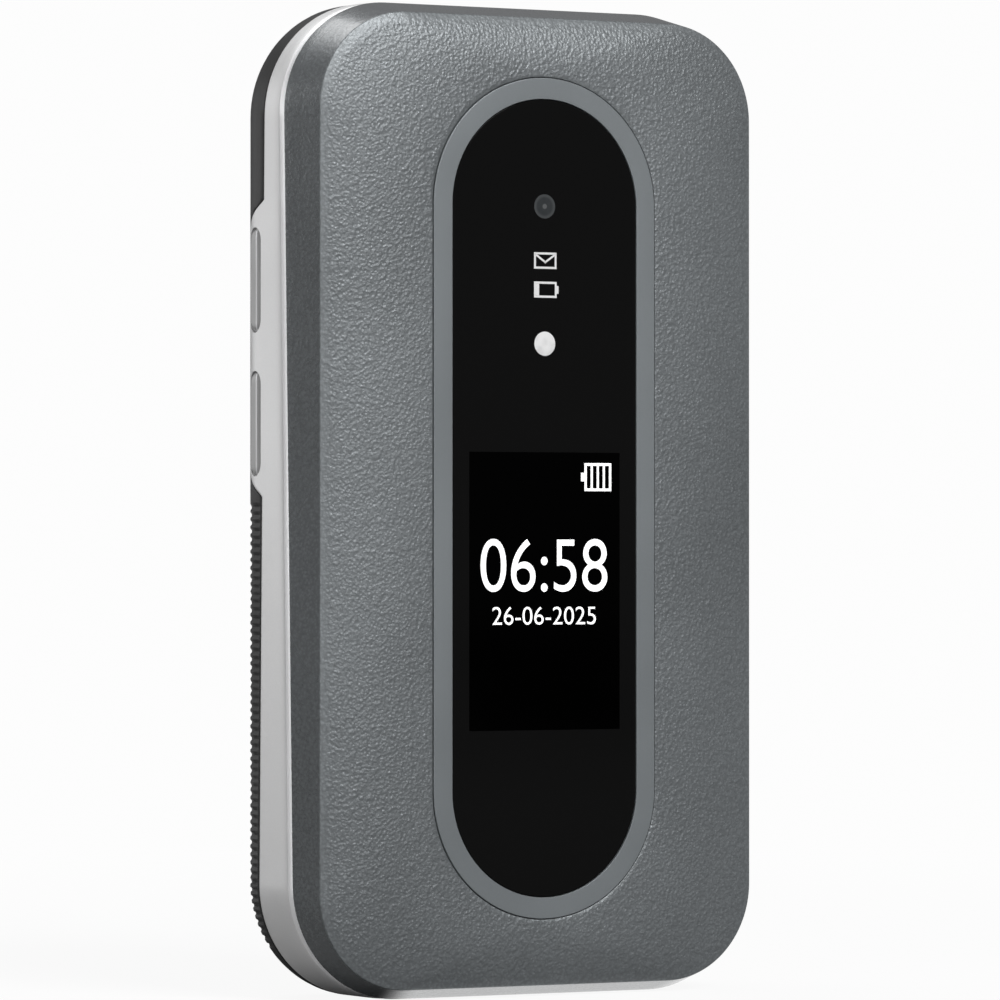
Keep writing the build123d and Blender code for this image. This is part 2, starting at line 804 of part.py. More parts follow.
def lid_screw_places():
    """Where the screws of the lid stand."""
    upper, lower = (lid_screw_x, lid_screw_upper_y), (lid_screw_lower_x, lid_screw_lower_y)
    return [(side * x, y) for side in (-1, 1) for x, y in (upper, lower)]


def lid_inner_outline(inset):
    """The outline inside the lid's walls, up to the block over the hinge."""
    wall = lid_wall + inset
    outline = rounded(body_width - 2 * wall, body_length - 2 * wall, corner_radius - wall)
    return outline & Pos(0, lid_end_y - inset) * Rectangle(2 * reach, reach, align=(Align.CENTER, Align.MAX))


def make_lid_shell():
    """Grey lid: crowned front, flaring sides, and the hinge barrel on its neck."""
    ceiling = crease_height - lid_roof
    hollow = extrude(lid_inner_outline(0), amount=ceiling)
    solid = lid_form() - hollow
    pocket = stadium(glass_width + 2 * (ring_width + groove), glass_length + 2 * (ring_width + groove))
    solid = solid - Pos(0, glass_y, glass_bottom - slip) * extrude(pocket, amount=reach)
    window = stadium(glass_width - 2 * glass_ledge, glass_length - 2 * glass_ledge)
    solid = solid - Pos(0, glass_y, ceiling - slip) * extrude(window, amount=reach)
    half = barrel_half_length
    neck = hinge_axis * block(-half, half, -barrel_radius, barrel_radius, 0, hinge_depth + lid_gap + lid_wall)
    neck = neck & (lid_form() + below(lid_plane))
    solid = solid + neck + rod(barrel_radius, -half, half)
    for x, y in lid_screw_places():
        boss = Pos(x, y) * stud(lid_boss_radius, 0, ceiling)
        boss = boss & above(lid_plane * Pos(0, 0, inner_cover_thickness + slip))
        solid = solid + boss
        hole = stud(lid_screw_radius, 0, inner_cover_thickness + lid_screw_length)
        solid = solid - lid_plane * Pos(x, y) * hole
    solid = solid - rod(cartridge_radius + slip, -half - slip, -cartridge_reach_in + slip)
    return solid - rod(pin_radius + slip, pin_reach_in - slip, half + slip)


def make_bezel_ring():
    """Smooth ring round the front glass."""
    outer = stadium(glass_width + 2 * ring_width, glass_length + 2 * ring_width)
    inner = stadium(glass_width + 2 * slip, glass_length + 2 * slip)
    height = glass_thickness + ring_proud
    return Pos(0, glass_y, glass_bottom) * extrude(outer - inner, amount=height)


def make_front_glass():
    """Long dark front glass with rounded ends."""
    outline = stadium(glass_width, glass_length)
    return Pos(0, glass_y, glass_bottom) * extrude(outline, amount=glass_thickness)


def make_outer_display():
    """Small display right behind the front glass."""
    half = outer_display_width / 2
    top = glass_bottom - slip
    return block(-half, half, outer_display_low_y, outer_display_high_y, top - outer_display_thickness, top)


def make_camera_module():
    """Camera: a square base with a round barrel up to the glass."""
    top = glass_bottom - slip
    base_top = crease_height - lid_roof - slip
    half = camera_size / 2
    body = block(-half, half, -half, half, base_top - camera_height, base_top)
    body = body + stud(camera_barrel_radius, base_top - camera_height, top, round_sides)
    body = body - stud(lens_radius + slip, top - lens_thickness, reach, round_sides)
    return Pos(0, camera_y) * body


def make_camera_lens():
    """Front lens of the camera, in the mouth of its barrel."""
    top = glass_bottom - slip
    lens = stud(lens_radius, top - lens_thickness, top - slip, round_sides)
    return Pos(0, camera_y) * lens


def make_flash_led():
    """Flash lamp on the lid's board with its round light guide up to the glass."""
    half = flash_size / 2
    foot = lid_board_bottom + lid_board_thickness + slip
    solid = lid_plane * Pos(0, flash_y) * block(-half, half, -half, half, foot, foot + flash_thickness)
    guide = stud(flash_radius, crease_height - lid_band / 2, glass_bottom - slip, round_sides)
    guide = Pos(0, flash_y) * guide
    guide = guide & above(lid_plane * Pos(0, 0, foot))
    return solid + guide


def make_lid_inner_cover():
    """Inner cover of the lid, with the window of the main display."""
    solid = extrude(lid_inner_outline(fit), amount=inner_cover_thickness)
    glass = clipped(inner_glass_width + 2 * slip, inner_glass_length + 2 * slip, inner_glass_clip)
    solid = solid - Pos(0, inner_glass_y) * extrude(glass, amount=inner_glass_thickness + slip)
    ledge = 2 * inner_glass_ledge
    window = clipped(inner_glass_width - ledge, inner_glass_length - ledge, inner_glass_clip)
    solid = solid - Pos(0, inner_glass_y) * extrude(window, amount=inner_cover_thickness)
    slot = Rot(0, 0, 90) * stadium(earpiece_slot_width, earpiece_slot_length)
    solid = solid - Pos(0, earpiece_y) * extrude(slot, amount=inner_cover_thickness)
    for x, y in bumper_places():
        solid = solid - Pos(x, y) * stud(bumper_radius + slip, 0, bumper_seat, round_sides)
    for x, y in lid_screw_places():
        head = stud(lid_screw_head_radius + slip, 0, lid_screw_head_thickness, round_sides)
        solid = solid - Pos(x, y) * head
        solid = solid - Pos(x, y) * stud(lid_screw_radius + slip, 0, inner_cover_thickness)
    return lid_plane * solid


def make_inner_display_glass():
    """Window of the main display, flush with the inner cover."""
    outline = clipped(inner_glass_width, inner_glass_length, inner_glass_clip)
    return lid_plane * Pos(0, inner_glass_y) * extrude(outline, amount=inner_glass_thickness)


def make_inner_display():
    """Main display behind the inner cover's window."""
    outline = Rectangle(inner_glass_width - inner_glass_ledge, inner_glass_length - inner_glass_ledge)
    place = lid_plane * Pos(0, inner_glass_y, lid_inner_display)
    return place * extrude(outline, amount=inner_display_thickness)


def make_lid_board():
    """Thin circuit board of the lid, between the two displays."""
    half = lid_board_width / 2
    place = lid_plane * Pos(0, 0, lid_board_bottom)
    return place * block(-half, half, lid_board_low_y, lid_board_high_y, 0, lid_board_thickness)


def make_earpiece():
    """Earpiece behind its slot in the inner cover."""
    outline = clipped(earpiece_width, earpiece_length, earpiece_slot_width)
    place = lid_plane * Pos(0, earpiece_y, inner_cover_thickness + slip)
    return place * extrude(outline, amount=earpiece_thickness)


def bumper_places():
    """Where the soft bumpers of the lid sit."""
    return [(side * bumper_x, bumper_upper_y) for side in (-1, 1)] + [
        (side * (bumper_x - bumper_radius), bumper_lower_y) for side in (-1, 1)]


def make_lid_bumpers():
    """Soft discs that the closed lid rests on."""
    disc = stud(bumper_radius, bumper_seat - slip - bumper_height, bumper_seat - slip, round_sides)
    return [lid_plane * Pos(x, y) * disc for x, y in bumper_places()]


def make_lid_screws():
    """Screws that hold the inner cover in the lid."""
    head = stud(lid_screw_head_radius, slip, lid_screw_head_thickness, round_sides)
    end = lid_screw_head_thickness + lid_screw_length
    screw = head + stud(lid_screw_radius, lid_screw_head_thickness, end)
    return [lid_plane * Pos(x, y) * screw for x, y in lid_screw_places()]


def make_closing_magnet():
    """Small magnet that tells the base that the lid is closed."""
    foot = inner_cover_thickness + slip
    magnet = stud(magnet_radius, foot, foot + magnet_thickness, round_sides)
    return lid_plane * Pos(magnet_x, bumper_lower_y) * magnet


def assemble():
    """Every node of the phone, lying on its back."""
    nodes = {
        "base_frame": make_base_frame(),
        "back_cover": make_back_cover(),
        "inner_chassis": make_inner_chassis(),
        "keypad_deck": make_keypad_deck(),
        "main_board": make_main_board(),
        "key_dome_sheet": make_key_dome_sheet(),
        "nav_ring": make_nav_ring(),
        "upper_side_key": make_side_key(side_key_upper_y),
        "lower_side_key": make_side_key(side_key_lower_y),
        "side_switches": make_side_switches(),
        "battery": make_battery(),
        "battery_contacts": make_battery_contacts(),
        "usb_socket": make_usb_socket(),
        "audio_jack": make_audio_jack(),
        "loudspeaker": make_loudspeaker(),
        "microphone": make_microphone(),
        "vibration_motor": make_vibration_motor(),
        "sim_holder": make_sim_holder(),
        "shield_can": make_shield_can(),
        "base_screws": make_base_screws(),
        "hinge_cartridge": make_hinge_cartridge(),
        "hinge_pin": make_hinge_pin(),
        "lid_shell": make_lid_shell(),
        "bezel_ring": make_bezel_ring(),
        "front_glass": make_front_glass(),
        "outer_display": make_outer_display(),
        "camera_module": make_camera_module(),
        "camera_lens": make_camera_lens(),
        "flash_led": make_flash_led(),
        "lid_inner_cover": make_lid_inner_cover(),
        "inner_display_glass": make_inner_display_glass(),
        "inner_display": make_inner_display(),
        "lid_board": make_lid_board(),
        "earpiece": make_earpiece(),
        "lid_bumpers": make_lid_bumpers(),
        "lid_screws": make_lid_screws(),
        "closing_magnet": make_closing_magnet(),
    }
    nodes.update(make_keypad_keys())
    return nodes


def solids_of(piece):
    """The single solids of a piece or of a group of pieces."""
    if isinstance(piece, list):
        return [solid for part in piece for solid in part.solids()]
    return piece.solids()


def write_nodes(nodes):
    """Stand the phone on its free end over the origin and write one file for each node."""
    everything = Compound(children=[solid for piece in nodes.values() for solid in solids_of(piece)])
    bounds = everything.bounding_box()
    middle = (bounds.min.Z + bounds.max.Z) / 2
    stand = Rot(90, 0, 0) * Pos(0, -bounds.min.Y, -middle)
    os.makedirs("parts", exist_ok=True)
    for name, piece in nodes.items():
        solids = [stand * solid for solid in solids_of(piece)]
        shape = solids[0] if len(solids) == 1 else Compound(solids)
        shape.label = name
        export_step(shape, f"parts/{name}.step")
    hinge = stand * hinge_axis
    print("hinge axis at", hinge.position, "seam tilt", seam_tilt)


write_nodes(assemble())
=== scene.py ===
import math
import bpy
import numpy as np
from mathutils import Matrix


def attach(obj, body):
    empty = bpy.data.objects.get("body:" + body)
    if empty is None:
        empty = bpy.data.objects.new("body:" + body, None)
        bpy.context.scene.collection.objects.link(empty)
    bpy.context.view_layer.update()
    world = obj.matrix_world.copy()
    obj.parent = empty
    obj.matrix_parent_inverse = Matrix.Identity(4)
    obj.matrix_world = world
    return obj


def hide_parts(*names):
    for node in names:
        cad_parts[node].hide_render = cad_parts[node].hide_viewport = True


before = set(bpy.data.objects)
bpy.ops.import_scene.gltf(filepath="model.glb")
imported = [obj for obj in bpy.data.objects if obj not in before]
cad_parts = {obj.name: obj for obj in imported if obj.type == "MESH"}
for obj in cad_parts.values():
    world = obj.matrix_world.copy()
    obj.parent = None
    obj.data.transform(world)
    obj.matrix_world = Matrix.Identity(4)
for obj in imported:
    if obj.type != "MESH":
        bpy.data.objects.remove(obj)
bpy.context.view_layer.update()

# Back cover: a tray of matt dark grey polycarbonate, moulded with a rounded edge. Level grooves
# run round its lower half for grip, slots stand over the loudspeaker, and a hollow at the upper
# end leaves room for the hinge. Like every piece here it is drawn lying on its back, in mm.
BODY_WIDTH, BODY_LENGTH, CORNER_RADIUS, MID_HEIGHT = 58.5, 110.8, 12.9, 9.75
BACK_EDGE, COVER_WALL, COVER_SLOPE = 6.0, 1.3, 2.35
SPLIT_HEIGHT, SPLIT_RISE, SPLIT_GROOVE = 7.16, 1.58, 0.12
DIP_LOW, DIP_HIGH, DIP_BOTTOM, DIP_END, DIP_DEPTH = 0.3, 33.2, 3.5, 3.4, 2.32
RIB_PITCH, RIB_DEPTH, RIB_RIM, RIB_LAST = 0.885, 0.17, 0.3, -50.5
HINGE_Y, HINGE_Z, HINGE_ROOM, HINGE_HALF, HINGE_OPEN = 52.16, 6.601, 3.4, 16.85, 150.0
SEAM_TILT, SHARP_EDGE = 1.37, math.radians(50)
SLOT_WIDTH, SLOT_LENGTH, SLOT_PITCH, SLOT_Y, REACH = 0.9, 8.0, 2.0, -43.0, 20


def stand(points):
    """Points of the lying phone in millimetres, stood up on the free end, in metres."""
    x, y, z = np.moveaxis(np.asarray(points, float), -1, 0)
    return np.stack([x, MID_HEIGHT - z, y + BODY_LENGTH / 2], -1) / 1000


def steps(*counts):
    """Values from 0 to 8: one unit for each straight and each corner, divided into these counts."""
    return np.concatenate([i + np.arange(n) / n for i, n in enumerate(counts)])


def outline(u, width, length, radius, draw=0.0, middle=0.0):
    """A rounded rectangle, right side first. A quarter circle turns about each corner's centre,
    and between corners the centre slides evenly to the next while the direction stays.
    It is drawn in by taking that much from the radius alone."""
    quarter = np.floor(u / 2).astype(int) % 4
    share = u % 1
    straight = (np.floor(u) % 2) == 0
    reach = [width / 2 - radius, length / 2 - radius]
    corners = np.array([(1, 1), (-1, 1), (-1, -1), (1, -1)]) * reach
    slide = np.where(straight, share, 1.0)[:, None]
    centre = corners[quarter - 1] * (1 - slide) + corners[quarter] * slide
    angle = (quarter + np.where(straight, 0.0, share)) * math.pi / 2
    x = centre[:, 0] + (radius - draw) * np.cos(angle)
    y = centre[:, 1] + (radius - draw) * np.sin(angle) + middle
    return x, y


def smooth(value, low, high):
    """A soft step from 0 at low to 1 at high."""
    share = np.clip((value - low) / (high - low), 0, 1)
    return share * share * (3 - 2 * share)


def rows_of(*triples):
    """Stacks rows of points, each given as x, y and z. One height may serve for a whole row."""
    return np.stack([np.stack(np.broadcast_arrays(x, y, z), -1) for x, y, z in triples])


def loops(rows, columns, closed=False):
    """Faces of a grid whose rows are closed loops. With closed, the last row joins the first."""
    index = np.arange(rows * columns).reshape(rows, columns)
    low = index if closed else index[:-1]
    high = np.roll(index, -1, 0) if closed else index[1:]
    return np.stack([low, np.roll(low, -1, 1), np.roll(high, -1, 1), high], -1).reshape(-1, 4)


def bare_mesh(name, points, faces):
    """A mesh from lying points, with its doubled points merged, as an object of its own."""
    mesh = bpy.data.meshes.new(name)
    mesh.from_pydata(stand(points).reshape(-1, 3).tolist(), [], np.asarray(faces).tolist())
    made = bpy.data.objects.new(name, mesh)
    bpy.context.scene.collection.objects.link(made)
    settle(made, ("WELD", {"merge_threshold": 2e-6}))
    return made


def settle(thing, *modifiers):
    """Adds modifiers and keeps what they make as the object's own mesh."""
    for kind, settings in modifiers:
        modifier = thing.modifiers.new(kind, kind)
        for key, value in settings.items():
            setattr(modifier, key, value)
    now = thing.evaluated_get(bpy.context.evaluated_depsgraph_get())
    mesh = bpy.data.meshes.new_from_object(now)
    thing.modifiers.clear()
    thing.data = mesh
    return thing


def put_on(piece, body, finish):
    """Gives a finished piece its look and lets it ride on a body of the phone."""
    mesh = piece.data
    mesh.materials.clear()
    mesh.materials.append(finish)
    mesh.polygons.foreach_set("use_smooth", np.ones(len(mesh.polygons), bool))
    mesh.set_sharp_from_angle(angle=SHARP_EDGE)
    normals = piece.modifiers.new("normals", "WEIGHTED_NORMAL")
    normals.weight, normals.keep_sharp = 100, True
    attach(piece, body)
    return piece


class Value:
    """A value among nodes. Arithmetic on it adds the Math nodes that work it out."""

    def __init__(self, nodes, socket):
        self.nodes, self.socket = nodes, socket

    def math(self, operation, *values):
        return self.nodes.node("ShaderNodeMath", {"operation": operation}, dict(enumerate(values)))

    def __add__(self, other):
        return self.math("ADD", self, other)

    def __sub__(self, other):
        return self.math("SUBTRACT", self, other)

    def __rsub__(self, other):
        return self.math("SUBTRACT", other, self)

    def __mul__(self, other):
        return self.math("MULTIPLY", self, other)

    __radd__, __rmul__ = __add__, __mul__

    def __pow__(self, other):
        return self.math("POWER", self, other)

    def __abs__(self):
        return self.math("ABSOLUTE", self)

    def least(self, other):
        return self.math("MINIMUM", self, other)

    def most(self, other):
        return self.math("MAXIMUM", self, other)

    def step(self, low, high):
        """A soft step from 0 at low to 1 at high."""
        return self.nodes.node("ShaderNodeMapRange", {"interpolation_type": "SMOOTHSTEP"},
                               {"Value": self, "From Min": low, "From Max": high})

    def axes(self):
        """The three parts of a vector."""
        parts = self.nodes.node("ShaderNodeSeparateXYZ", {}, {0: self})
        return [parts.output(name) for name in "XYZ"]

    def output(self, name):
        """Another output of the same node."""
        return Value(self.nodes, self.socket.node.outputs[name])


class Nodes:
    """The nodes of one finish, or of the room."""

    def __init__(self, tree):
        self.tree = tree

    def node(self, kind, settings={}, inputs={}):
        """A node of this type, with its settings first and then its sockets' values or links."""
        made = self.tree.nodes.new(kind)
        for key, value in settings.items():
            setattr(made, key, value)
        for key, value in inputs.items():
            self.feed(made.inputs[key], value)
        return Value(self, next(socket for socket in made.outputs if socket.enabled))

    def feed(self, socket, value):
        """Links a value to a socket, or sets the socket to a constant."""
        if isinstance(value, Value):
            self.tree.links.new(value.socket, socket)
        else:
            socket.default_value = value


class Finish(Nodes):
    """One material, built round a Principled shader whose constants are given by name."""

    def __init__(self, name, **constants):
        self.material = bpy.data.materials.new(name)
        self.material.use_nodes = True
        super().__init__(self.material.node_tree)
        self.shader = self.tree.nodes["Principled BSDF"]
        self.give(**constants)
        self.place = self.node("ShaderNodeTexCoord").output("Object")

    def give(self, **inputs):
        """Sets or links the shader's own sockets, and hands back the material."""
        for key, value in inputs.items():
            self.feed(self.shader.inputs[key.replace("_", " ")], value)
        return self.material

    def noise(self, scale, detail=2.0, roughness=0.5, place=None):
        """Even noise over the object's place, with so many waves in a metre."""
        return self.node("ShaderNodeTexNoise", {}, {
            "Vector": place or self.place, "Scale": scale, "Detail": detail,
            "Roughness": roughness})

    def blend(self, share, low, high):
        """A colour between two greys or colours, by a share."""
        low, high = [(c, c, c, 1) if isinstance(c, float) else c for c in (low, high)]
        return self.node("ShaderNodeMix", {"data_type": "RGBA"}, {0: share, 6: low, 7: high})

    def bump(self, height, relief, strength=1.0):
        """The surface normal of a height between 0 and 1 that stands for so many mm of relief."""
        return self.node("ShaderNodeBump", {}, {
            "Strength": strength, "Distance": relief / 1000, "Height": height})


def block(x0, x1, y0, y1, z0, z1):
    """The eight corners and six outward faces of a box."""
    points = np.array([(x, y, z) for z in (z0, z1) for y in (y0, y1) for x in (x0, x1)], float)
    faces = [(0, 2, 3, 1), (4, 5, 7, 6), (0, 1, 5, 4), (1, 3, 7, 5), (3, 2, 6, 7), (2, 0, 4, 6)]
    return points, faces


def tipped(points, degrees):
    """Points turned about the hinge's axis, by the right hand about X."""
    angle = math.radians(degrees)
    x, y, z = np.moveaxis(points, -1, 0)
    return np.stack([x, HINGE_Y + y * math.cos(angle) - z * math.sin(angle),
                     HINGE_Z + y * math.sin(angle) + z * math.cos(angle)], -1)


def sideways(points):
    """Points of an upright prism laid along X, or again along Y, by a turn of the axes."""
    return np.roll(points, 1, -1)


def prism(sides, z0, z1):
    """A flat-ended prism over a loop of x and y, closed by a fan at each end."""
    x, y = sides
    mid = np.full_like(x, x.mean()), np.full_like(y, y.mean())
    grid = rows_of((*mid, z0), (x, y, z0), (x, y, z1), (*mid, z1))
    return grid, loops(4, len(x))


def carve(piece, *cutters):
    """Takes the cutters, each given as points and faces, out of a closed piece."""
    for points, faces in cutters:
        cutter = bare_mesh("cutter", points, faces)
        settle(piece, ("BOOLEAN", {"object": cutter, "operation": "DIFFERENCE", "solver": "EXACT"}))
        bpy.data.objects.remove(cutter)
    return piece


def split_height(y):
    """Height of the level joint between cover and frame."""
    return SPLIT_HEIGHT + y * SPLIT_RISE / BODY_LENGTH


def cover_rim(x, y):
    """Height of the cover's rim: the level joint, but on the left side the floor of the dip,
    which is joined to it by two S-shaped ends, tight at the joint and slower at the floor."""
    side = -x > BODY_WIDTH / 2 - DIP_DEPTH
    inside = np.minimum(y - DIP_LOW, DIP_HIGH - y) / DIP_END
    share = smooth(np.clip(inside, 0, 1) ** 0.6, 0, 1) * side
    return split_height(y) * (1 - share) + DIP_BOTTOM * share - SPLIT_GROOVE


BODY_LOOP = (steps(376, 24, 22, 24, 376, 170, 66, 170), BODY_WIDTH, BODY_LENGTH, CORNER_RADIUS)


def cover_mesh():
    """Loops round the body, from the middle of the back outwards, up the quarter circle of the
    back edge and the side, over the rim, down the inner wall and its slope to the floor. The
    ribs draw the side in by a soft wave of the length, and fade out where the edge turns flat."""
    rim = cover_rim(*outline(*BODY_LOOP))
    flat_x, flat_y = outline(*BODY_LOOP, CORNER_RADIUS - 0.3)
    made = [(flat_x * 0, flat_y * 0.8, 0.0), (flat_x, flat_y, 0.0)]
    brow = rim - 0.1
    top = np.minimum(brow, BACK_EDGE)
    last = np.arccos(1 - top / BACK_EDGE)
    upright = np.where(brow > BACK_EDGE, math.pi / 2, last)
    rows = [(last * share, BACK_EDGE * (1 - np.cos(last * share)))
            for share in np.linspace(0, 1, 15)]
    rows += [(upright, top * (1 - share) + brow * share) for share in (0.5, 1.0)]
    for turn, height in rows:
        draw = BACK_EDGE * (1 - np.sin(turn))
        x, y = outline(*BODY_LOOP, draw)
        wave = smooth(0.5 + 0.5 * np.cos(2 * math.pi * y / RIB_PITCH), 0.3, 0.7)
        span = smooth(-y, 0.2, 0.5) * smooth(y, RIB_LAST, RIB_LAST + 0.6)
        mask = smooth(turn, 0.5, 0.8) * smooth(rim - height, RIB_RIM, RIB_RIM + 0.15)
        groove = RIB_DEPTH * wave * span * mask
        x, y = outline(*BODY_LOOP, draw + groove * np.sin(turn))
        made.append((x, y, height + groove * np.cos(turn)))
    edge = BACK_EDGE * (1 - np.sin(np.where(rim > BACK_EDGE, math.pi / 2, last)))
    wall = edge + COVER_WALL
    foot = np.minimum(COVER_WALL + COVER_SLOPE, rim - 0.3)
    for draw, height in ((edge + 0.03, rim - 0.03), (edge + 0.1, rim), (wall, rim), (wall, foot),
                         (wall + COVER_SLOPE, COVER_WALL)):
        made.append((*outline(*BODY_LOOP, draw), height))
    made += [(flat_x, flat_y, COVER_WALL), (flat_x * 0, flat_y * 0.8, COVER_WALL)]
    return rows_of(*made), loops(len(made), len(rim))


def slot_sides(x, y, width, length):
    """The outline of a slot with round ends, long along the phone."""
    u = steps(2, 8, 2, 8, 2, 8, 2, 8)
    sx, sy = outline(u, width, length, width / 2 - 0.01)
    return sx + x, sy + y


turn = np.linspace(0, 2 * math.pi, 64, endpoint=False)
circle = HINGE_ROOM * np.cos(turn), HINGE_ROOM * np.sin(turn)
drum, drum_faces = prism(circle, -HINGE_HALF, HINGE_HALF)
half = HINGE_HALF + 0.01
neck, neck_faces = block(-half, half, -HINGE_ROOM, REACH, 0, REACH)
half = HINGE_HALF + 0.02
flap, flap_faces = block(-half, half, -REACH, HINGE_ROOM, 0, REACH)
hinge_cutters = [(tipped(sideways(drum), 0), drum_faces), (tipped(neck, -SEAM_TILT), neck_faces),
                 (tipped(flap, -SEAM_TILT - HINGE_OPEN), flap_faces)]
speaker_slots = [
    prism(slot_sides(i * SLOT_PITCH, SLOT_Y, SLOT_WIDTH, SLOT_LENGTH), -1, COVER_WALL + 1)
    for i in (-1.5, -0.5, 0.5, 1.5)]
cover = carve(bare_mesh("grooved_back_cover", *cover_mesh()), *hinge_cutters, *speaker_slots)

cover_paint = Finish("cover_paint", Specular_IOR_Level=0.3)
grain, cloud = cover_paint.noise(5200, 3, 0.6), cover_paint.noise(55, 3)
tone = grain.step(0.35, 0.7) * 0.6 + cloud.step(0.35, 0.7) * 0.4
cover_paint.give(
    Base_Color=cover_paint.blend(tone, 0.024, 0.037),
    Roughness=0.44 + 0.14 * cloud.step(0.3, 0.7),
    Normal=cover_paint.bump(grain, 0.012, 0.5))
put_on(cover, "base", cover_paint.material)
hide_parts("back_cover")

# Inside of the base: a black chassis plate, a green circuit board with its dome sheet, a foil
# battery, small plated parts and black moulded sockets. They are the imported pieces, whose
# edges are broken a little, as on any moulded or stamped part.


def dress(finish, *names, edge=0.06):
    """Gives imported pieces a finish. Their triangles are joined to flat faces, and each sharp
    edge gets a small rounding, in millimetres."""
    for name in names:
        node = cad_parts[name]
        node.data.materials.clear()
        node.data.materials.append(finish)
        node.data.polygons.foreach_set("use_smooth", np.ones(len(node.data.polygons), bool))
        weld = node.modifiers.new("weld", "WELD")
        weld.merge_threshold = 1e-6
        flat = node.modifiers.new("flat", "DECIMATE")
        flat.decimate_type, flat.angle_limit = "DISSOLVE", math.radians(0.3)
        if edge:
            bevel = node.modifiers.new("edge", "BEVEL")
            bevel.width, bevel.segments = edge / 1000, 2
            bevel.limit_method, bevel.angle_limit = "ANGLE", math.radians(28)
        split = node.modifiers.new("split", "EDGE_SPLIT")
        split.split_angle = SHARP_EDGE
        weighted = node.modifiers.new("normals", "WEIGHTED_NORMAL")
        weighted.weight = 100


def moulded(name, low, high, rough, relief=0.01, wave=4200):
    """A moulded or painted finish: a fine grain, soft clouds of tone, and wear in the gloss."""
    finish = Finish(name)
    grain, cloud = finish.noise(wave, 3, 0.6), finish.noise(60, 3)
    share = grain.step(0.3, 0.7) * 0.5 + cloud.step(0.3, 0.7) * 0.5
    return finish.give(Base_Color=finish.blend(share, low, high),
                       Roughness=rough + 0.14 * cloud.step(0.35, 0.7),
                       Normal=finish.bump(grain, relief, 0.6))


def plated(name, low, high, rough):
    """Plated or rolled metal: fine scratches along the part, and dull clouds of handling."""
    finish = Finish(name, Metallic=1.0)
    stretch = finish.node("ShaderNodeMapping", {}, {"Vector": finish.place, "Scale": (1, 1, 0.05)})
    scratch, cloud = finish.noise(9000, 3, 0.6, place=stretch), finish.noise(240, 3)
    return finish.give(Base_Color=finish.blend(cloud.step(0.3, 0.7), low, high),
                       Roughness=rough + 0.12 * scratch + 0.1 * cloud.step(0.4, 0.7),
                       Normal=finish.bump(scratch, 0.004, 0.4))


black_plastic = moulded("black_moulding", 0.016, 0.026, 0.42)
board_green = moulded("board_green", (0.008, 0.05, 0.025, 1), (0.014, 0.075, 0.036, 1), 0.3)
dome_film = moulded("dome_film", (0.42, 0.42, 0.39, 1), (0.52, 0.52, 0.5, 1), 0.25)
foil = plated("battery_foil", 0.42, 0.5, 0.34)
steel = plated("plated_steel", 0.48, 0.6, 0.24)
dress(black_plastic, "inner_chassis", "battery_contacts", "audio_jack", "loudspeaker")
dress(board_green, "main_board", "lid_board", edge=0.0)
dress(dome_film, "key_dome_sheet", edge=0.0)
dress(foil, "battery")
dress(steel, "side_switches", "usb_socket", "microphone", "vibration_motor", "sim_holder",
      "shield_can", "base_screws", "hinge_cartridge", "hinge_pin", "earpiece", "lid_screws",
      "closing_magnet")

# Silver frame: the walls of the base in satin silver paint over plastic; along the chamfer at the
# joint to the lid a painted highlight in near white. It dips round the side keys, is open for the
# two sockets at the free end, and its hinge end is rolled off so that the lid can turn past it.
SEAM_HEIGHT, SEAM_FALL = 13.1, math.tan(math.radians(SEAM_TILT))
FRAME_WALL, FRAME_CHAMFER, FRAME_LEAN, FRAME_END, RELIEF_RADIUS = 2.2, 1.0, 0.12, 47.4, 5.15
SIDE_KEY_LENGTH, SIDE_KEY_WIDTH, SIDE_KEY_Z, SIDE_KEY_GAP = 11.6, 2.9, 5.45, 0.06
SIDE_KEY_PLACES = {"upper_side_key": 24.4, "lower_side_key": 8.45}
JACK_X, JACK_Z, JACK_RADIUS, USB_Z, USB_WIDTH, USB_HEIGHT = -9.5, 9.0, 1.8, 8.5, 9.04, 3.3
ROUND_BAR = steps(2, 12, 2, 12, 2, 12, 2, 12)


def seam(y, lift=0.0):
    """Height of the tilted seam plane, lifted by so much."""
    return SEAM_HEIGHT - y * SEAM_FALL + lift


def back_draw(z):
    """How far the quarter circle of the back edge has drawn in at a height."""
    return BACK_EDGE - np.sqrt(BACK_EDGE ** 2 - np.maximum(BACK_EDGE - z, 0) ** 2)


def frame_mesh():
    """A closed section carried round the body: up the side, which leans in by the square of the
    height above its middle, over the chamfer, in along the seam, and down the inner wall."""
    x, y = outline(*BODY_LOOP)
    foot = cover_rim(x, y) + SPLIT_GROOVE
    brow = seam(y, -FRAME_CHAMFER)
    rows = [(back_draw(foot) + 0.3, foot), (back_draw(foot + 0.02) + 0.06, foot + 0.02)]
    for share in (0.025, 0.1, 0.2, 0.32, 0.45, 0.6, 0.72, 0.82, 0.91, 0.98):
        z = foot * (1 - share) + brow * share
        lean = FRAME_LEAN * np.clip((z - brow + 1.4) / 1.4, 0, 1) ** 2
        rows.append((back_draw(z) + lean, z))
    rows += [(FRAME_LEAN + 0.03, seam(y, -FRAME_CHAMFER + 0.04)),
             (FRAME_LEAN + 0.78, seam(y, -0.04)), (FRAME_LEAN + 0.85, seam(y))]
    made = [(*outline(*BODY_LOOP, draw), z) for draw, z in rows]
    x, y = outline(*BODY_LOOP, FRAME_WALL)
    y = np.minimum(y, FRAME_END)
    made += [(x, y, seam(y)), (x, y, foot)]
    return rows_of(*made), loops(len(made), len(x), closed=True)


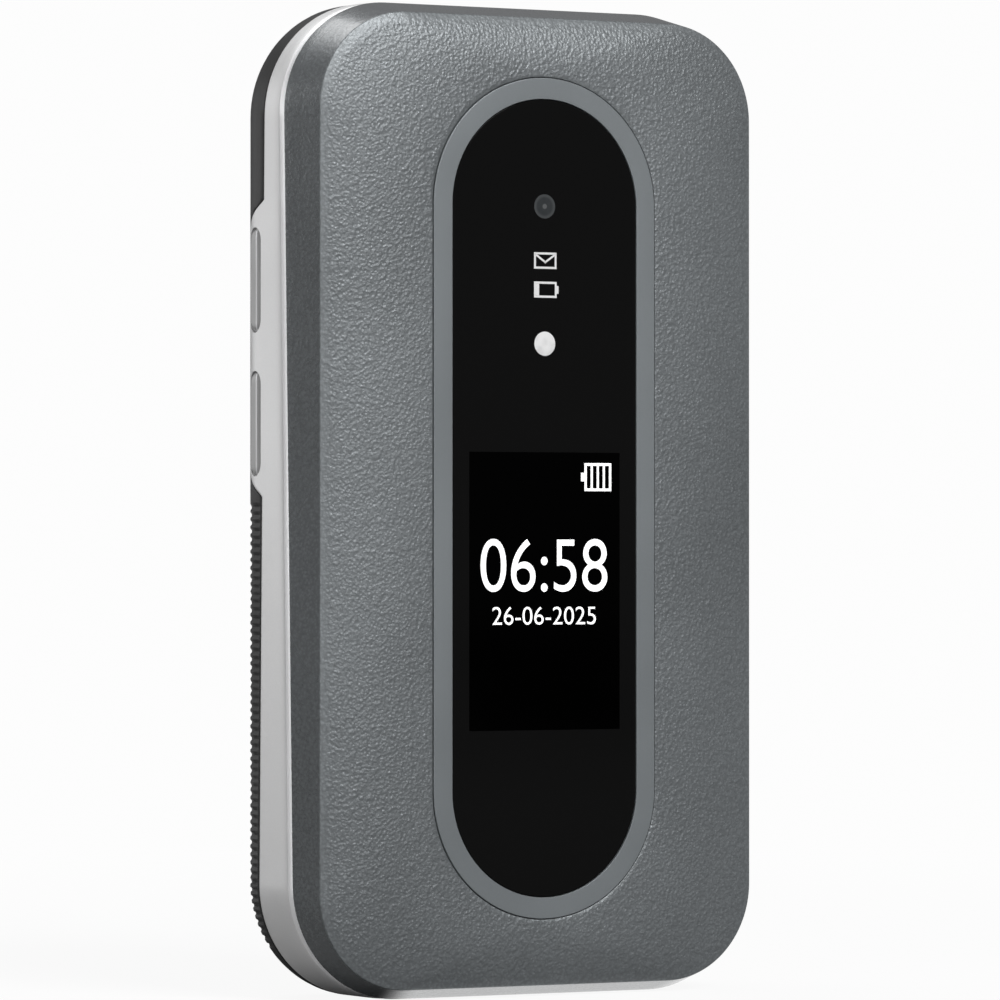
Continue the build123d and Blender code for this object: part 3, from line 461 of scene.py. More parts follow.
def ear_mesh():
    """The block under the frame's hinge end that carries cartridge and pin, drawn in to the
    cover's inner wall, from the end of the battery room on."""
    u = steps(2, 24, 40, 24, 2, 2, 2, 2)
    low, high, snug = 2.0, SPLIT_HEIGHT + 0.6, COVER_WALL + 0.1
    made = [(u * 0, u * 0 + FRAME_END + 1, low)]
    for draw, z in ((COVER_WALL + COVER_SLOPE, low), (snug, 4.0), (snug, high)):
        x, y = outline(u, BODY_WIDTH, BODY_LENGTH, CORNER_RADIUS, draw)
        made.append((x, np.maximum(y, FRAME_END), z))
    made.append((u * 0, u * 0 + FRAME_END + 1, high))
    return rows_of(*made), loops(len(made), len(u))


def key_sides(grow):
    """The outline of a side key as height along the phone and height above the back."""
    return outline(ROUND_BAR, SIDE_KEY_LENGTH + 2 * grow, SIDE_KEY_WIDTH + 2 * grow,
                   SIDE_KEY_WIDTH / 2 + grow - 0.01)


bend = np.linspace(math.pi / 2, 0, 14)
corner = (np.concatenate([[REACH, REACH, 0], RELIEF_RADIUS * np.cos(bend)]),
          np.concatenate([[0, REACH, REACH], RELIEF_RADIUS * np.sin(bend)]))
relief, relief_faces = prism(corner, -2 * REACH, 2 * REACH)
cutters = [*hinge_cutters, (tipped(sideways(relief), -SEAM_TILT), relief_faces)]
for y in SIDE_KEY_PLACES.values():
    a, b = key_sides(SIDE_KEY_GAP)
    hole, hole_faces = prism((a + y, b + SIDE_KEY_Z), -BODY_WIDTH, -BODY_WIDTH / 2 + FRAME_WALL + 1)
    cutters.append((sideways(hole), hole_faces))
jack_hole = 2 * JACK_RADIUS + 0.01
for x, z, width, height in ((JACK_X, JACK_Z, jack_hole, jack_hole),
                            (0, USB_Z, USB_WIDTH, USB_HEIGHT)):
    b, a = outline(ROUND_BAR, height, width, height / 2 - 0.01)
    hole, hole_faces = prism((b + z, a + x), -BODY_LENGTH, -BODY_LENGTH / 2 + FRAME_WALL + 1)
    cutters.append((sideways(sideways(hole)), hole_faces))
points, faces = frame_mesh()
ear_points, ear_faces = ear_mesh()
faces = np.concatenate([faces, ear_faces + points.size // 3])
points = np.concatenate([points.reshape(-1, 3), ear_points.reshape(-1, 3)])
silver_frame = carve(bare_mesh("silver_frame", points, faces), *cutters)

silver = Finish("silver_paint", Metallic=0.35, Specular_IOR_Level=0.5)
flake, mist = silver.noise(14000, 2, 0.7), silver.noise(45, 3)
x, y, z = silver.place.axes()
chamfer_foot = (MID_HEIGHT - SEAM_HEIGHT + FRAME_CHAMFER - 0.02) / 1000
# The chamfer and the seam land above it are painted near white: a painted highlight along the
# joint.
edge = (chamfer_foot - y + (z - BODY_LENGTH / 2000) * SEAM_FALL).step(-0.00004, 0.00004)
tone = silver.blend(flake.step(0.3, 0.7) * 0.55 + mist.step(0.3, 0.7) * 0.45, 0.76, 0.86)
silver.give(
    Base_Color=silver.blend(edge, tone, (0.96, 0.96, 0.97, 1)),
    Roughness=0.34 + 0.1 * mist.step(0.3, 0.7),
    Normal=silver.bump(flake, 0.006, 0.5))
put_on(silver_frame, "base", silver.material)
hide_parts("base_frame")

# Side keys: two long caps of a darker satin silver. A ridge runs along each cap, its back half
# follows the rounded edge of the phone, and its ends are round. A gap parts it from the frame.
# A light line along the ridge is a painted highlight.
SIDE_KEY_RIDGE, SIDE_KEY_DEPTH, SIDE_KEY_ROUND = 5.85, 2.4, 0.9


def side_key_mesh(middle):
    """Loops of the key's outline, drawn in towards its spine. The cap's height over a point
    falls on both sides of the ridge, and towards its ends by the square of the way."""
    a, b = key_sides(0)
    spine = SIDE_KEY_LENGTH / 2 - SIDE_KEY_WIDTH / 2
    mid = np.clip(a, -spine, spine) + middle
    root, face = -BODY_WIDTH / 2 + SIDE_KEY_DEPTH, -BODY_WIDTH / 2 + 0.02
    made = [(root, mid, SIDE_KEY_Z), (root, a + middle, b + SIDE_KEY_Z)]
    for draw, sink in ((0, 0.3), (0.02, 0.17), (0.08, 0.08), (0.18, 0.02), (0.28, 0), (0.55, 0),
                       (0.9, 0), (1.2, 0)):
        c, d = key_sides(-draw)
        z = d + SIDE_KEY_Z
        above = z - SIDE_KEY_RIDGE
        fall = np.where(above < 0, -above * 0.13, above * 0.26)
        fall += 0.2 * np.clip((abs(c) - SIDE_KEY_LENGTH / 2) / SIDE_KEY_ROUND + 1, 0, 1) ** 2
        made.append((face + fall + sink, c + middle, z))
    made.append((face + 0.015, mid, SIDE_KEY_Z))
    return rows_of(*made)[::-1], loops(len(made), len(a))


key_silver = Finish("side_key_paint", Metallic=0.35)
flake, mist = key_silver.noise(14000, 2, 0.7), key_silver.noise(90, 3)
x, y, z = key_silver.place.axes()
# A light stripe painted along the ridge line: a painted highlight.
ridge = abs(y - (MID_HEIGHT - SIDE_KEY_RIDGE) / 1000).step(0.00014, 0.00007)
tone = key_silver.blend(flake.step(0.3, 0.7) * 0.5 + mist.step(0.3, 0.7) * 0.5, 0.4, 0.48)
key_silver.give(
    Base_Color=key_silver.blend(ridge, tone, (0.8, 0.8, 0.81, 1)),
    Roughness=0.32 + 0.12 * mist.step(0.3, 0.7),
    Normal=key_silver.bump(flake, 0.006, 0.5))
for name, middle in SIDE_KEY_PLACES.items():
    cap = bare_mesh(name + "_cap", *side_key_mesh(middle))
    put_on(cap, name, key_silver.material)
    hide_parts(name)

# Keypad: a smooth grey deck with satin light keys, each moulded on its own and held by a flange
# under the deck, with its plain number or sign printed on it.
deck_grey = moulded("deck_plastic", 0.045, 0.062, 0.34)
key_white = moulded("key_caps", 0.52, 0.6, 0.36)
dress(deck_grey, "keypad_deck", "lid_inner_cover", edge=0.1)
dress(key_white, "call_key", "clear_key", "end_key", *[f"key_{n}" for n in range(10)], "key_star",
      "key_hash", "left_soft_key", "right_soft_key", "mail_key", "menu_key", "ok_key", "nav_ring",
      edge=0.12)
PRINT_LIFT, PRINT_DEPTH, PRINT_GAP = 0.004, 0.012, 0.004
KEY_SINK, KEY_PITCH_X, KEY_PITCH_Y, KEY_FIRST_Y = 0.2, 17.033, 10.64, 4.28
RING_KEY_Y, RING_KEY_MIDDLE, NUMBER_HEIGHT = 22.6, 9.2, 4.0


def plates(quads, z, lean=0.0):
    """Thin plates, each over four x, y corners given anticlockwise, on a plane that falls
    towards the hinge by so many degrees."""
    quads = np.array(quads, float)
    count = len(quads)
    low, high = [np.dstack([quads, np.full(quads.shape[:2], h)]) for h in (z, z + PRINT_DEPTH)]
    points = np.concatenate([low, high], 1).reshape(-1, 3)
    points[:, 2] -= points[:, 1] * math.tan(math.radians(lean))
    one = np.array([(3, 2, 1, 0), (4, 5, 6, 7), (0, 1, 5, 4), (1, 2, 6, 5), (2, 3, 7, 6),
                    (3, 0, 4, 7)])
    return points, (np.arange(count)[:, None, None] * 8 + one).reshape(-1, 4)


def stroke(x0, y0, x1, y1, width):
    """Four corners of a straight stroke between two points."""
    along = np.array([x1 - x0, y1 - y0], float)
    along *= width / 2 / np.hypot(*along)
    side = np.array([-along[1], along[0]])
    a, b = np.array([x0, y0]) - along, np.array([x1, y1]) + along
    return [a - side, b - side, b + side, a + side]


def bar(x0, x1, y0, y1):
    """Four corners of an upright rectangle."""
    return [(x0, y0), (x1, y0), (x1, y1), (x0, y1)]


def frame_of(x0, x1, y0, y1, w):
    """A rectangle drawn with four strokes inside its edges."""
    low, high = y0 + w + PRINT_GAP, y1 - w - PRINT_GAP
    return [bar(x0, x1, y0, y0 + w), bar(x0, x1, y1 - w, y1), bar(x0, x0 + w, low, high),
            bar(x1 - w, x1, low, high)]


def lettering(name, text, x, y, z, height, width=None, lean=0.0):
    """Plain numbers as thin plates of a height about a middle, at their own width or at a given
    one, on a plane that falls towards the hinge by so many degrees."""
    curve = bpy.data.curves.new(name, "FONT")
    curve.body, curve.extrude, curve.offset = text, 0.5, -0.004
    made = bpy.data.objects.new(name, curve)
    bpy.context.scene.collection.objects.link(made)
    bpy.context.view_layer.update()
    now = made.evaluated_get(bpy.context.evaluated_depsgraph_get())
    mesh = bpy.data.meshes.new_from_object(now)
    bpy.data.objects.remove(made)
    points = np.zeros(len(mesh.vertices) * 3)
    mesh.vertices.foreach_get("co", points)
    points = points.reshape(-1, 3)
    low, size = points.min(0), np.ptp(points, 0)
    share = (points - low) / size
    width = width or height * size[0] / size[1]
    across, along = x + (share[:, 0] - 0.5) * width, y + (share[:, 1] - 0.5) * height
    above = z + share[:, 2] * PRINT_DEPTH - along * math.tan(math.radians(lean))
    mesh.vertices.foreach_set("co", stand(np.stack([across, along, above], -1)).ravel())
    made = bpy.data.objects.new(name, mesh)
    bpy.context.scene.collection.objects.link(made)
    return made


def ink(name, low, high):
    """Printed colour, worn a little in tone and in gloss."""
    finish = Finish(name)
    wear = finish.noise(2000, 3)
    return finish.give(Base_Color=finish.blend(wear, low, high), Roughness=0.4 + 0.2 * wear,
                       Normal=finish.bump(wear, 0.002, 0.4))


key_print = moulded("key_print", 0.05, 0.07, 0.5)
call_print = ink("call_print", (0.05, 0.32, 0.1, 1), (0.07, 0.4, 0.14, 1))
end_print = ink("end_print", (0.42, 0.04, 0.03, 1), (0.5, 0.06, 0.05, 1))
level = SEAM_HEIGHT - KEY_SINK + PRINT_LIFT
numbers = {f"key_{n}": (str(n), (n - 1) // 3 + 1, (n - 1) % 3 - 1) for n in range(1, 10)}
numbers["key_0"] = ("0", 4, 0)
for name, (text, row, column) in numbers.items():
    x, y = column * KEY_PITCH_X, KEY_FIRST_Y - row * KEY_PITCH_Y
    number = lettering(name + "_number", text, x, y, level, NUMBER_HEIGHT, lean=SEAM_TILT)
    put_on(number, name, key_print)
x, y, low_y = KEY_PITCH_X, KEY_FIRST_Y, KEY_FIRST_Y - 4 * KEY_PITCH_Y
arrow = [stroke(1.4, y, -1.4, y, 0.4), stroke(-0.5, y + 1.0, -1.52, y, 0.4),
         stroke(-0.5, y - 1.0, -1.5, y, 0.4)]
star = [stroke(-x - 1.3 * c, low_y - 1.3 * d, -x + 1.3 * c, low_y + 1.3 * d, 0.45)
        for c, d in ((1.0, 0.0), (0.5, 0.866), (-0.5, 0.866))]
hash_marks = [stroke(x + a, low_y + b, x + c, low_y + d, 0.4)
              for a, b, c, d in ((-1.4, -0.6, 1.4, -0.6), (-1.4, 0.6, 1.4, 0.6),
                                 (-0.9, -1.5, -0.4, 1.5), (0.4, -1.5, 0.9, 1.5))]
tip = RING_KEY_MIDDLE
chevrons = [stroke(c * (tip - 0.6) + half * d, RING_KEY_Y + d * (tip - 0.6) - half * c,
                   c * tip, RING_KEY_Y + d * tip, 0.35)
            for half in (-0.5, 0.5) for c, d in ((1, 0), (-1, 0), (0, 1), (0, -1))]
prints = {"call_key": ([bar(-x - 2.2, -x + 2.2, y - 0.5, y + 0.5)], call_print),
          "end_key": ([bar(x - 2.2, x + 2.2, y - 0.5, y + 0.5)], end_print),
          "clear_key": (arrow, key_print), "key_star": (star, key_print),
          "key_hash": (hash_marks, key_print), "nav_ring": (chevrons, key_print)}
for name, (quads, finish) in prints.items():
    sign = bare_mesh(name + "_print", *plates(quads, level, SEAM_TILT))
    put_on(sign, name, finish)

# Lid's inner side: the window of the main display, printed black round its edge, over the panel,
# and four rubber bumpers. Behind the front glass sit the camera and the lamp's milky guide.
window_black = Finish("window_black", Coat_Weight=0.3, Coat_Roughness=0.03)
smear = window_black.noise(70, 3)
window_black.give(Base_Color=window_black.blend(smear.step(0.3, 0.7), 0.004, 0.007),
                  Roughness=0.06 + 0.08 * smear.step(0.45, 0.75),
                  Normal=window_black.bump(window_black.noise(900, 2), 0.0005, 0.2))
dress(window_black.material, "inner_display_glass", "outer_display", "inner_display", "camera_lens")
rubber = moulded("soft_rubber", 0.018, 0.026, 0.72, 0.02, 3000)
dress(rubber, "lid_bumpers", edge=0.12)
dress(black_plastic, "camera_module")
milky = moulded("milky_guide", 0.7, 0.78, 0.3, 0.004)
dress(milky, "flash_led")

# Lid shell: moulded in one with the hinge barrel and painted dark metallic grey over a fine
# leather grain. A crisp crease runs round the crowned front, its side band flares to the seam.
LID_GAP, LID_INSET = 0.08, 0.04
CREASE_HEIGHT, CROWN_HEIGHT = 18.06, 1.32
CREASE_WIDTH, CREASE_LENGTH, CREASE_RADIUS, CREASE_MIDDLE = 55.6, 107.98, 10.8, -0.14
GLASS_WIDTH, GLASS_LENGTH, GLASS_MIDDLE, GLASS_THICKNESS = 23.68, 88.84, 0.2, 1.0
RING_WIDTH, RING_GROOVE, CROWN_MARGIN, GLASS_LEDGE = 2.36, 0.15, 0.35, 1.6
LID_WALL, LID_ROOF, LID_END = 2.4, 0.5, 48.4
BARREL_RADIUS, BARREL_HALF, NECK_HEIGHT = 3.0, 16.65, 5.55
GLASS_BOTTOM = CREASE_HEIGHT + CROWN_HEIGHT - GLASS_THICKNESS


def stadium(u, width, length):
    """The outline of a form with half-round ends, centred as the glass is."""
    return outline(u, width, length, width / 2 - 0.002, middle=GLASS_MIDDLE)


def lid_mesh():
    """A closed section carried round the lid: up the wall of the ring's pocket, out over the
    crown, whose height falls by the square of the way out, round the crease, down the flaring
    band to the seam, in along the seam, up the inner wall, in under the roof to the window."""
    u = steps(40, 30, 8, 30, 40, 30, 8, 30)
    pocket = GLASS_WIDTH + 2 * (RING_WIDTH + RING_GROOVE)
    long = GLASS_LENGTH + 2 * (RING_WIDTH + RING_GROOVE)
    flat = pocket + 2 * CROWN_MARGIN
    top = CREASE_HEIGHT + CROWN_HEIGHT
    made = [(*stadium(u, pocket + grow, long + grow), height) for grow, height in (
        (0.0, GLASS_BOTTOM - 0.05), (0.0, top - 0.09), (0.05, top - 0.03), (0.16, top))]
    for share in np.linspace(1, 0, 22):
        width = CREASE_WIDTH + (flat - CREASE_WIDTH) * share
        length = CREASE_LENGTH + (long + 2 * CROWN_MARGIN - CREASE_LENGTH) * share
        radius = CREASE_RADIUS + (flat / 2 - 2 * CROWN_MARGIN - CREASE_RADIUS) * share
        middle = CREASE_MIDDLE + (GLASS_MIDDLE - CREASE_MIDDLE) * share
        if share == 0:
            width, length, radius = width - 0.2, length - 0.2, radius - 0.1
        rise = CROWN_HEIGHT * (1 - (1 - share) ** 2)
        made.append((*outline(u, width, length, radius, middle=middle), CREASE_HEIGHT + rise))
    crease = (u, CREASE_WIDTH, CREASE_LENGTH, CREASE_RADIUS)
    body = (u, BODY_WIDTH, BODY_LENGTH, CORNER_RADIUS)
    made.append((*outline(*crease, 0.03, CREASE_MIDDLE), CREASE_HEIGHT - 0.02))
    x0, y0 = outline(*crease, 0.0, CREASE_MIDDLE)
    x1, y1 = outline(*body, LID_INSET)
    foot = seam(y1, LID_GAP)
    for share in (0.0, 0.25, 0.5, 0.75, 0.97):
        height = (CREASE_HEIGHT - 0.08) * (1 - share) + foot * share
        made.append((x0 * (1 - share) + x1 * share, y0 * (1 - share) + y1 * share, height))
    for draw, lift in ((0.06, 0.03), (0.16, 0.0)):
        x, y = outline(*body, LID_INSET + draw)
        made.append((x, y, seam(y, LID_GAP + lift)))
    x, y = outline(*body, LID_WALL)
    y = np.minimum(y, LID_END)
    ceiling = CREASE_HEIGHT - LID_ROOF
    opening = stadium(u, GLASS_WIDTH - 2 * GLASS_LEDGE, GLASS_LENGTH - 2 * GLASS_LEDGE)
    made += [(x, y, seam(y, LID_GAP)), (x, y, ceiling), (*opening, ceiling),
             (*opening, GLASS_BOTTOM - 0.05)]
    return rows_of(*made)[::-1], loops(len(made), len(u), closed=True)


def knuckle_mesh():
    """The U-shaped section of the barrel and its neck up into the lid, carried along X, its
    ends drawn in by a small rounding."""
    turn = np.linspace(math.pi, 2 * math.pi, 25)
    y = np.concatenate([BARREL_RADIUS * np.cos(turn), [BARREL_RADIUS, -BARREL_RADIUS]])
    z = np.concatenate([BARREL_RADIUS * np.sin(turn), [NECK_HEIGHT, NECK_HEIGHT]])
    made = []
    for x, draw in ((-BARREL_HALF, 1), (-BARREL_HALF, 0.12), (-BARREL_HALF + 0.12, 0),
                    (BARREL_HALF - 0.12, 0), (BARREL_HALF, 0.12), (BARREL_HALF, 1)):
        scale = 0.0 if draw == 1 else 1 - draw / BARREL_RADIUS
        made.append((x, y * scale, z * scale))
    return tipped(rows_of(*made), -SEAM_TILT), loops(len(made), len(y))


def lid_paint_finish():
    """Dark metallic paint. The leather grain is small cells with soft creases, mixed with a
    coarse and a fine noise. It fades just short of the crease, and on the band it is weaker."""
    paint = Finish("lid_paint", Specular_IOR_Level=0.5, Coat_IOR=1.8, Coat_Roughness=0.2)
    x, y, z = paint.place.axes()
    away_x = abs(x) - (CREASE_WIDTH / 2 - CREASE_RADIUS) / 1000
    away_z = (abs(z - (BODY_LENGTH / 2 + CREASE_MIDDLE) / 1000)
              - (CREASE_LENGTH / 2 - CREASE_RADIUS) / 1000)
    corner = (away_x.most(0.0) ** 2 + away_z.most(0.0) ** 2) ** 0.5
    inside = CREASE_RADIUS / 1000 - corner - away_x.most(away_z).least(0.0)
    front = (((MID_HEIGHT - CREASE_HEIGHT) / 1000 - y) * 4000 + 1).step(0.0, 0.5)
    face = inside.step(0.0004, 0.0014) * front
    coarse, fine = paint.noise(1900, 2), paint.noise(5600, 3, 0.6)
    cells = paint.node("ShaderNodeTexVoronoi", {"feature": "SMOOTH_F1"}, {
        "Vector": paint.place, "Scale": 2800.0, "Smoothness": 0.6, "Randomness": 1.0})
    leather = coarse * 0.5 + cells * 0.5 + 0.25 * fine
    flake, cloud = paint.noise(15000, 2, 0.7), paint.noise(30, 2)
    height = leather * (0.4 + 0.6 * face) + flake * 0.02
    tone = (flake.step(0.3, 0.75) * 0.25 + cloud.step(0.3, 0.7) * 0.25
            + (1 - leather).step(0.2, 0.75) * (0.6 - 0.2 * face))
    return paint.give(
        Base_Color=paint.blend(tone, (0.112, 0.121, 0.126, 1), (0.225, 0.243, 0.252, 1)),
        Metallic=0.55 - 0.15 * front, Coat_Weight=0.9 - 0.9 * front,
        Roughness=0.22 + 0.14 * front + 0.06 * cloud.step(0.3, 0.7),
        Normal=paint.bump(height, 0.11, 1.0))


lid_paint = lid_paint_finish()
lid_skin = bare_mesh("lid_skin", *lid_mesh())
put_on(lid_skin, "lid", lid_paint)
hinge_knuckle = bare_mesh("hinge_knuckle", *knuckle_mesh())
put_on(hinge_knuckle, "lid", lid_paint)
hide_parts("lid_shell")
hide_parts("lid_shell")

# Ring round the front glass: a smooth flat trim moulded in plastic and painted in the lid's grey.
# It is pressed into its pocket and stands a little proud of the crown.
RING_PROUD, RING_LOOP = 0.12, steps(20, 36, 2, 36, 20, 36, 2, 36)


def ring_mesh():
    """A flat rectangular section with small rounded edges, carried round the glass."""
    u = RING_LOOP
    top, rim = CREASE_HEIGHT + CROWN_HEIGHT + RING_PROUD, RING_WIDTH + 0.08
    rows = ((0.06, GLASS_BOTTOM), (0.06, top - 0.06), (0.12, top), (RING_WIDTH - 0.02, top),
            (RING_WIDTH + 0.05, top - 0.03), (rim, top - 0.1), (rim, GLASS_BOTTOM))
    made = [(*stadium(u, GLASS_WIDTH + 2 * grow, GLASS_LENGTH + 2 * grow), height)
            for grow, height in rows]
    return rows_of(*made)[::-1], loops(len(made), len(u), closed=True)


ring_paint = Finish("ring_paint", Metallic=0.4)
flake, cloud = ring_paint.noise(15000, 2, 0.7), ring_paint.noise(40, 2)
tone = flake.step(0.3, 0.75) * 0.5 + cloud.step(0.3, 0.7) * 0.5
ring_paint.give(
    Base_Color=ring_paint.blend(tone, (0.165, 0.18, 0.188, 1), (0.205, 0.223, 0.233, 1)),
    Roughness=0.4 + 0.08 * cloud.step(0.3, 0.7),
    Normal=ring_paint.bump(flake, 0.008, 0.6))
ring = put_on(bare_mesh("glass_ring", *ring_mesh()), "lid", ring_paint.material)
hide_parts("bezel_ring")

# Front glass: one black printed window with half-round ends over the display, camera and lamp.
# The display behind it is blacker than the print round it.
SCREEN_HALF, SCREEN_LOW, SCREEN_HIGH = 9.73, -25.64, 5.31
GLASS_TOP = GLASS_BOTTOM + GLASS_THICKNESS


def glass_mesh():
    """A flat plate with half-round ends and a small rounding along its upper edge."""
    u = RING_LOOP
    x, y = stadium(u, GLASS_WIDTH, GLASS_LENGTH)
    spine = np.clip(y, GLASS_MIDDLE - 30, GLASS_MIDDLE + 30)
    rows = ((0.0, GLASS_BOTTOM), (0.0, GLASS_TOP - 0.1), (0.03, GLASS_TOP - 0.03), (0.1, GLASS_TOP))
    made = [(*stadium(u, GLASS_WIDTH - 2 * draw, GLASS_LENGTH - 2 * draw), height)
            for draw, height in rows]
    made = [(x * 0, spine, GLASS_BOTTOM), *made, (x * 0, spine, GLASS_TOP)]
    return rows_of(*made), loops(len(made), len(u))


glass = Finish("front_glass_black", Specular_IOR_Level=0.05)
x, y, z = glass.place.axes()
mid = (BODY_LENGTH + SCREEN_LOW + SCREEN_HIGH) / 2000
screen = (SCREEN_HALF / 1000 - abs(x)).step(-0.00004, 0.00004) * (
    (SCREEN_HIGH - SCREEN_LOW) / 2000 - abs(z - mid)).step(-0.00004, 0.00004)
smear = glass.noise(60, 3)
glass.give(Base_Color=glass.blend(screen, 0.0046, 0.0001),
           Roughness=0.05 + 0.06 * smear.step(0.45, 0.75),
           Normal=glass.bump(smear, 0.0004, 0.2))
front_glass = put_on(bare_mesh("front_window", *glass_mesh()), "lid", glass.material)
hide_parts("front_glass")

# Signs behind the glass: a clock in plain numbers, a charge sign, a letter and a low-charge sign.
# They shine through the glass, so each is a thin plate just on it.
CLOCK_X, CLOCK_Y, CLOCK_HEIGHT, CLOCK_WIDTH = -0.09, -7.29, 5.9, 16.4
DATE_Y, DATE_HEIGHT, DATE_WIDTH = -12.9, 2.0, 13.4
CHARGE_BOX, CHARGE_LINE, CHARGE_BARS = (5.13, 8.63, 1.01, 4.14), 0.3, (5.94, 6.73, 7.52)
MAIL_BOX, LOW_CHARGE_BOX, SIGN_LINE = (-1.41, 1.50, 25.76, 27.59), (-1.41, 1.52, 22.54, 24.33), 0.24


def glow(name, tone, strength):
    """Light that comes through the glass, with the fine grid of the display in it."""
    finish = Finish(name, Coat_Weight=0.5, Coat_Roughness=0.03)
    grid = finish.noise(8000, 1)
    return finish.give(Base_Color=finish.blend(grid, tone * 0.85, tone),
                       Emission_Color=finish.blend(grid.step(0.3, 0.7), tone * 0.92, tone),
                       Emission_Strength=strength, Roughness=0.3 + 0.1 * grid)


clock_light = glow("clock_light", 0.85, 0.75)
sign_light = glow("sign_light", 0.5, 0.5)
level = GLASS_TOP + PRINT_LIFT
clock = lettering("clock_numbers", "06:58", CLOCK_X, CLOCK_Y, level, CLOCK_HEIGHT, CLOCK_WIDTH)
date = lettering("date_numbers", "26-06-2025", CLOCK_X, DATE_Y, level, DATE_HEIGHT, DATE_WIDTH)
charge = frame_of(*CHARGE_BOX, CHARGE_LINE) + [bar(4.68, 5.126, 2.1, 3.05)]
charge += [bar(x, x + 0.28, 1.31, 3.84) for x in CHARGE_BARS]
mail = frame_of(*MAIL_BOX, SIGN_LINE)
mail += [stroke(-1.2, 27.35, 0.045, 26.5, 0.22), stroke(0.045, 26.5, 1.3, 27.35, 0.22)]
low_charge = frame_of(*LOW_CHARGE_BOX, SIGN_LINE)
low_charge += [bar(-1.16, -0.75, 22.79, 24.08), bar(1.524, 1.76, 23.0, 23.87)]
for sign, light in ((clock, clock_light), (date, clock_light),
                    (bare_mesh("charge_sign", *plates(charge, level)), clock_light),
                    (bare_mesh("mail_sign", *plates(mail, level)), sign_light),
                    (bare_mesh("low_charge_sign", *plates(low_charge, level)), sign_light)):
    put_on(sign, "lid", light)

# Camera and lamp windows: clear rounds in the print, a dark coated lens and a milky lamp guide.
LENS_X, LENS_Y, LAMP_X, LAMP_Y, CAP_RADIUS = -0.03, 32.72, -0.01, 17.41, 1.35


def button_mesh(x, y, radius, z, crown):
    """A round cap: a short wall and a crown that falls by the square of the way out."""
    turn = np.linspace(0, 2 * math.pi, 48, endpoint=False)
    rows = [(0.0, z), (1.0, z)]
    rows += [(share, z + 0.006 + crown * (1 - share ** 2))
             for share in (1.0, 0.95, 0.8, 0.6, 0.4, 0.2, 0.0)]
    made = [(x + radius * share * np.cos(turn), y + radius * share * np.sin(turn), height)
            for share, height in rows]
    return rows_of(*made), loops(len(made), len(turn))


lens = Finish("camera_glass", Specular_IOR_Level=0.3)
x, y, z = lens.place.axes()
away = ((x - LENS_X / 1000) ** 2 + (z - (LENS_Y + BODY_LENGTH / 2) / 1000) ** 2) ** 0.5
# The lens is lighter in a small spot at its middle, a painted glint, dark in a ring round it and
# lighter again at its edge.
painted_glint_and_rings = away.step(0.00020, 0.00035) * (1 - 0.35 * away.step(0.0009, 0.0012))
haze = lens.noise(1500, 3)
tone = painted_glint_and_rings * (0.8 + 0.2 * haze)
lens.give(Base_Color=lens.blend(tone, (0.09, 0.094, 0.096, 1), (0.022, 0.025, 0.027, 1)),
          Roughness=0.12 + 0.1 * haze, Normal=lens.bump(haze, 0.001, 0.2))
lens_cap = bare_mesh("camera_window", *button_mesh(LENS_X, LENS_Y, CAP_RADIUS, GLASS_TOP, 0.01))
put_on(lens_cap, "lid", lens.material)
lamp = Finish("lamp_guide", Coat_Weight=0.6, Coat_Roughness=0.05)
haze = lamp.noise(900, 3)
# The milky guide is given a faint glow of its own: painted light that brightens it, not a lit lamp.
lamp.give(Base_Color=lamp.blend(haze.step(0.3, 0.7), 0.58, 0.7),
          Emission_Color=lamp.blend(haze, 0.7, 0.8), Emission_Strength=0.04,
          Roughness=0.25 + 0.15 * haze, Normal=lamp.bump(haze, 0.004, 0.4))
lamp_cap = bare_mesh("lamp_window", *button_mesh(LAMP_X, LAMP_Y, CAP_RADIUS, GLASS_TOP, 0.03))
put_on(lamp_cap, "lid", lamp.material)

# Studio: a pale seamless floor, soft lamps high and low in front, above, at the left and behind
# on the left, and an even pale room. The camera stands at the photograph's angle.
WHITE = (0.98, 0.98, 0.98, 1)
floor_mesh = bpy.data.meshes.new("floor")
floor_mesh.from_pydata([(-3, -3, 0), (3, -3, 0), (3, 3, 0), (-3, 3, 0)], [], [(0, 1, 2, 3)])
floor = bpy.data.objects.new("floor", floor_mesh)
bpy.context.scene.collection.objects.link(floor)
pale = Finish("floor_paper")
fibre = pale.noise(400, 4, 0.6)
path = pale.node("ShaderNodeLightPath")
seen, mirrored = path.output("Is Camera Ray"), path.output("Is Glossy Ray")
x, y, z = pale.place.axes()
far = ((x ** 2 + y ** 2) ** 0.5).step(0.05, 0.35)
# A patch of floor under and behind the right of the phone's foot shows white to reflected rays
# only: a painted reflection on the lid's lower band.
painted_reflection_patch = x.step(-0.019, -0.014) * y.step(-0.0095, -0.009)
pale.give(Base_Color=pale.blend(seen + 0.06 * fibre, 0.1, 0.92), Roughness=0.8 + 0.1 * fibre,
          Normal=pale.bump(fibre, 0.05, 0.2))
white = pale.node("ShaderNodeEmission", {}, {"Color": WHITE, "Strength": 1.0})
share = seen * (0.93 + 0.07 * far) + mirrored * painted_reflection_patch
shown = pale.node("ShaderNodeMixShader", {}, {
    0: share, 1: Value(pale, pale.shader.outputs[0]), 2: white})
pale.feed(pale.tree.nodes["Material Output"].inputs["Surface"], shown)
floor_mesh.materials.append(pale.material)

world = bpy.data.worlds.new("room")
bpy.context.scene.world = world
world.use_nodes = True
room = Nodes(world.node_tree)
even_light = room.tree.nodes["Background"]
room.feed(even_light.inputs["Color"], (0.18, 0.18, 0.184, 1))
path = room.node("ShaderNodeLightPath")
paper = room.node("ShaderNodeBackground", {}, {"Color": WHITE})
shown = room.node("ShaderNodeMixShader", {}, {
    0: path.output("Is Camera Ray").most(path.output("Is Transmission Ray")),
    1: Value(room, even_light.outputs[0]), 2: paper})
room.feed(room.tree.nodes["World Output"].inputs["Surface"], shown)


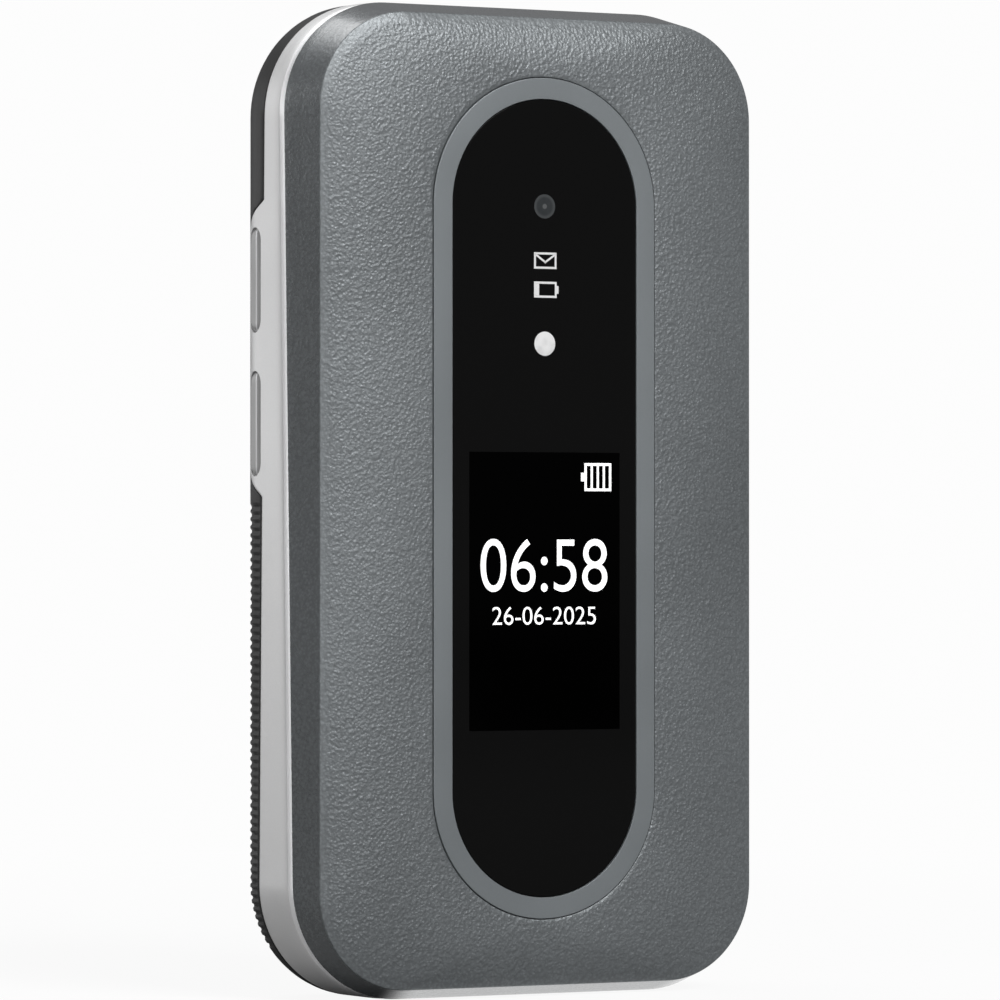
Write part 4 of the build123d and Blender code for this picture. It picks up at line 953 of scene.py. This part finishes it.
def soft_lamp(name, place, aim, size, power):
    """A square lamp at a place, turned to face a point."""
    data = bpy.data.lights.new(name, "AREA")
    data.size, data.energy = size, power
    made = bpy.data.objects.new(name, data)
    bpy.context.scene.collection.objects.link(made)
    made.location = place
    towards = bpy.context.scene.cursor.location.copy()
    towards[:] = [a - p for a, p in zip(aim, place)]
    made.rotation_mode = "QUATERNION"
    made.rotation_quaternion = towards.to_track_quat("-Z", "Y")
    return made


soft_lamp("front_lamp", (0.09, -0.74, 0.62), (0, 0, 0.07), 0.4, 7.8)
soft_lamp("fill_lamp", (0.16, -0.97, 0.24), (0, 0, 0.06), 0.3, 0.8)
soft_lamp("top_lamp", (-0.15, 0.4, 1.05), (0, 0, 0.1), 0.8, 4.5)
soft_lamp("left_lamp", (-0.95, -0.5, 0.15), (0, 0, 0.06), 0.7, 5.2)
soft_lamp("back_left_lamp", (-0.6, 1.05, 0.15), (0, 0, 0.06), 0.7, 2.1)

YAW, PITCH, DISTANCE, SHIFT_RIGHT, SHIFT_UP = 30.22, -0.46, 741.7, 4.34, -0.14
AIM_HEIGHT, LENS_LENGTH, FILM_WIDTH = 55.26, 239.24, 36.0
yaw, pitch = math.radians(YAW), math.radians(PITCH)
right = np.array([math.cos(yaw), -math.sin(yaw), 0])
level_back = -math.cos(pitch)
back = np.array([level_back * math.sin(yaw), level_back * math.cos(yaw), math.sin(pitch)])
up = np.cross(back, right)
aim = np.array([0, MID_HEIGHT - CREASE_HEIGHT, AIM_HEIGHT])
eye = (aim - SHIFT_RIGHT * right - SHIFT_UP * up + DISTANCE * back) / 1000
camera_data = bpy.data.cameras.new("camera")
camera_data.lens, camera_data.sensor_width = LENS_LENGTH, FILM_WIDTH
camera_data.clip_start, camera_data.clip_end = 0.05, 20
camera = bpy.data.objects.new("camera", camera_data)
bpy.context.scene.collection.objects.link(camera)
camera.location = eye
camera.rotation_mode = "QUATERNION"
facing = camera.location.copy()
facing[:] = back
camera.rotation_quaternion = facing.to_track_quat("Z", "Y")
bpy.context.scene.camera = camera
bpy.context.scene.view_settings.view_transform = "Standard"
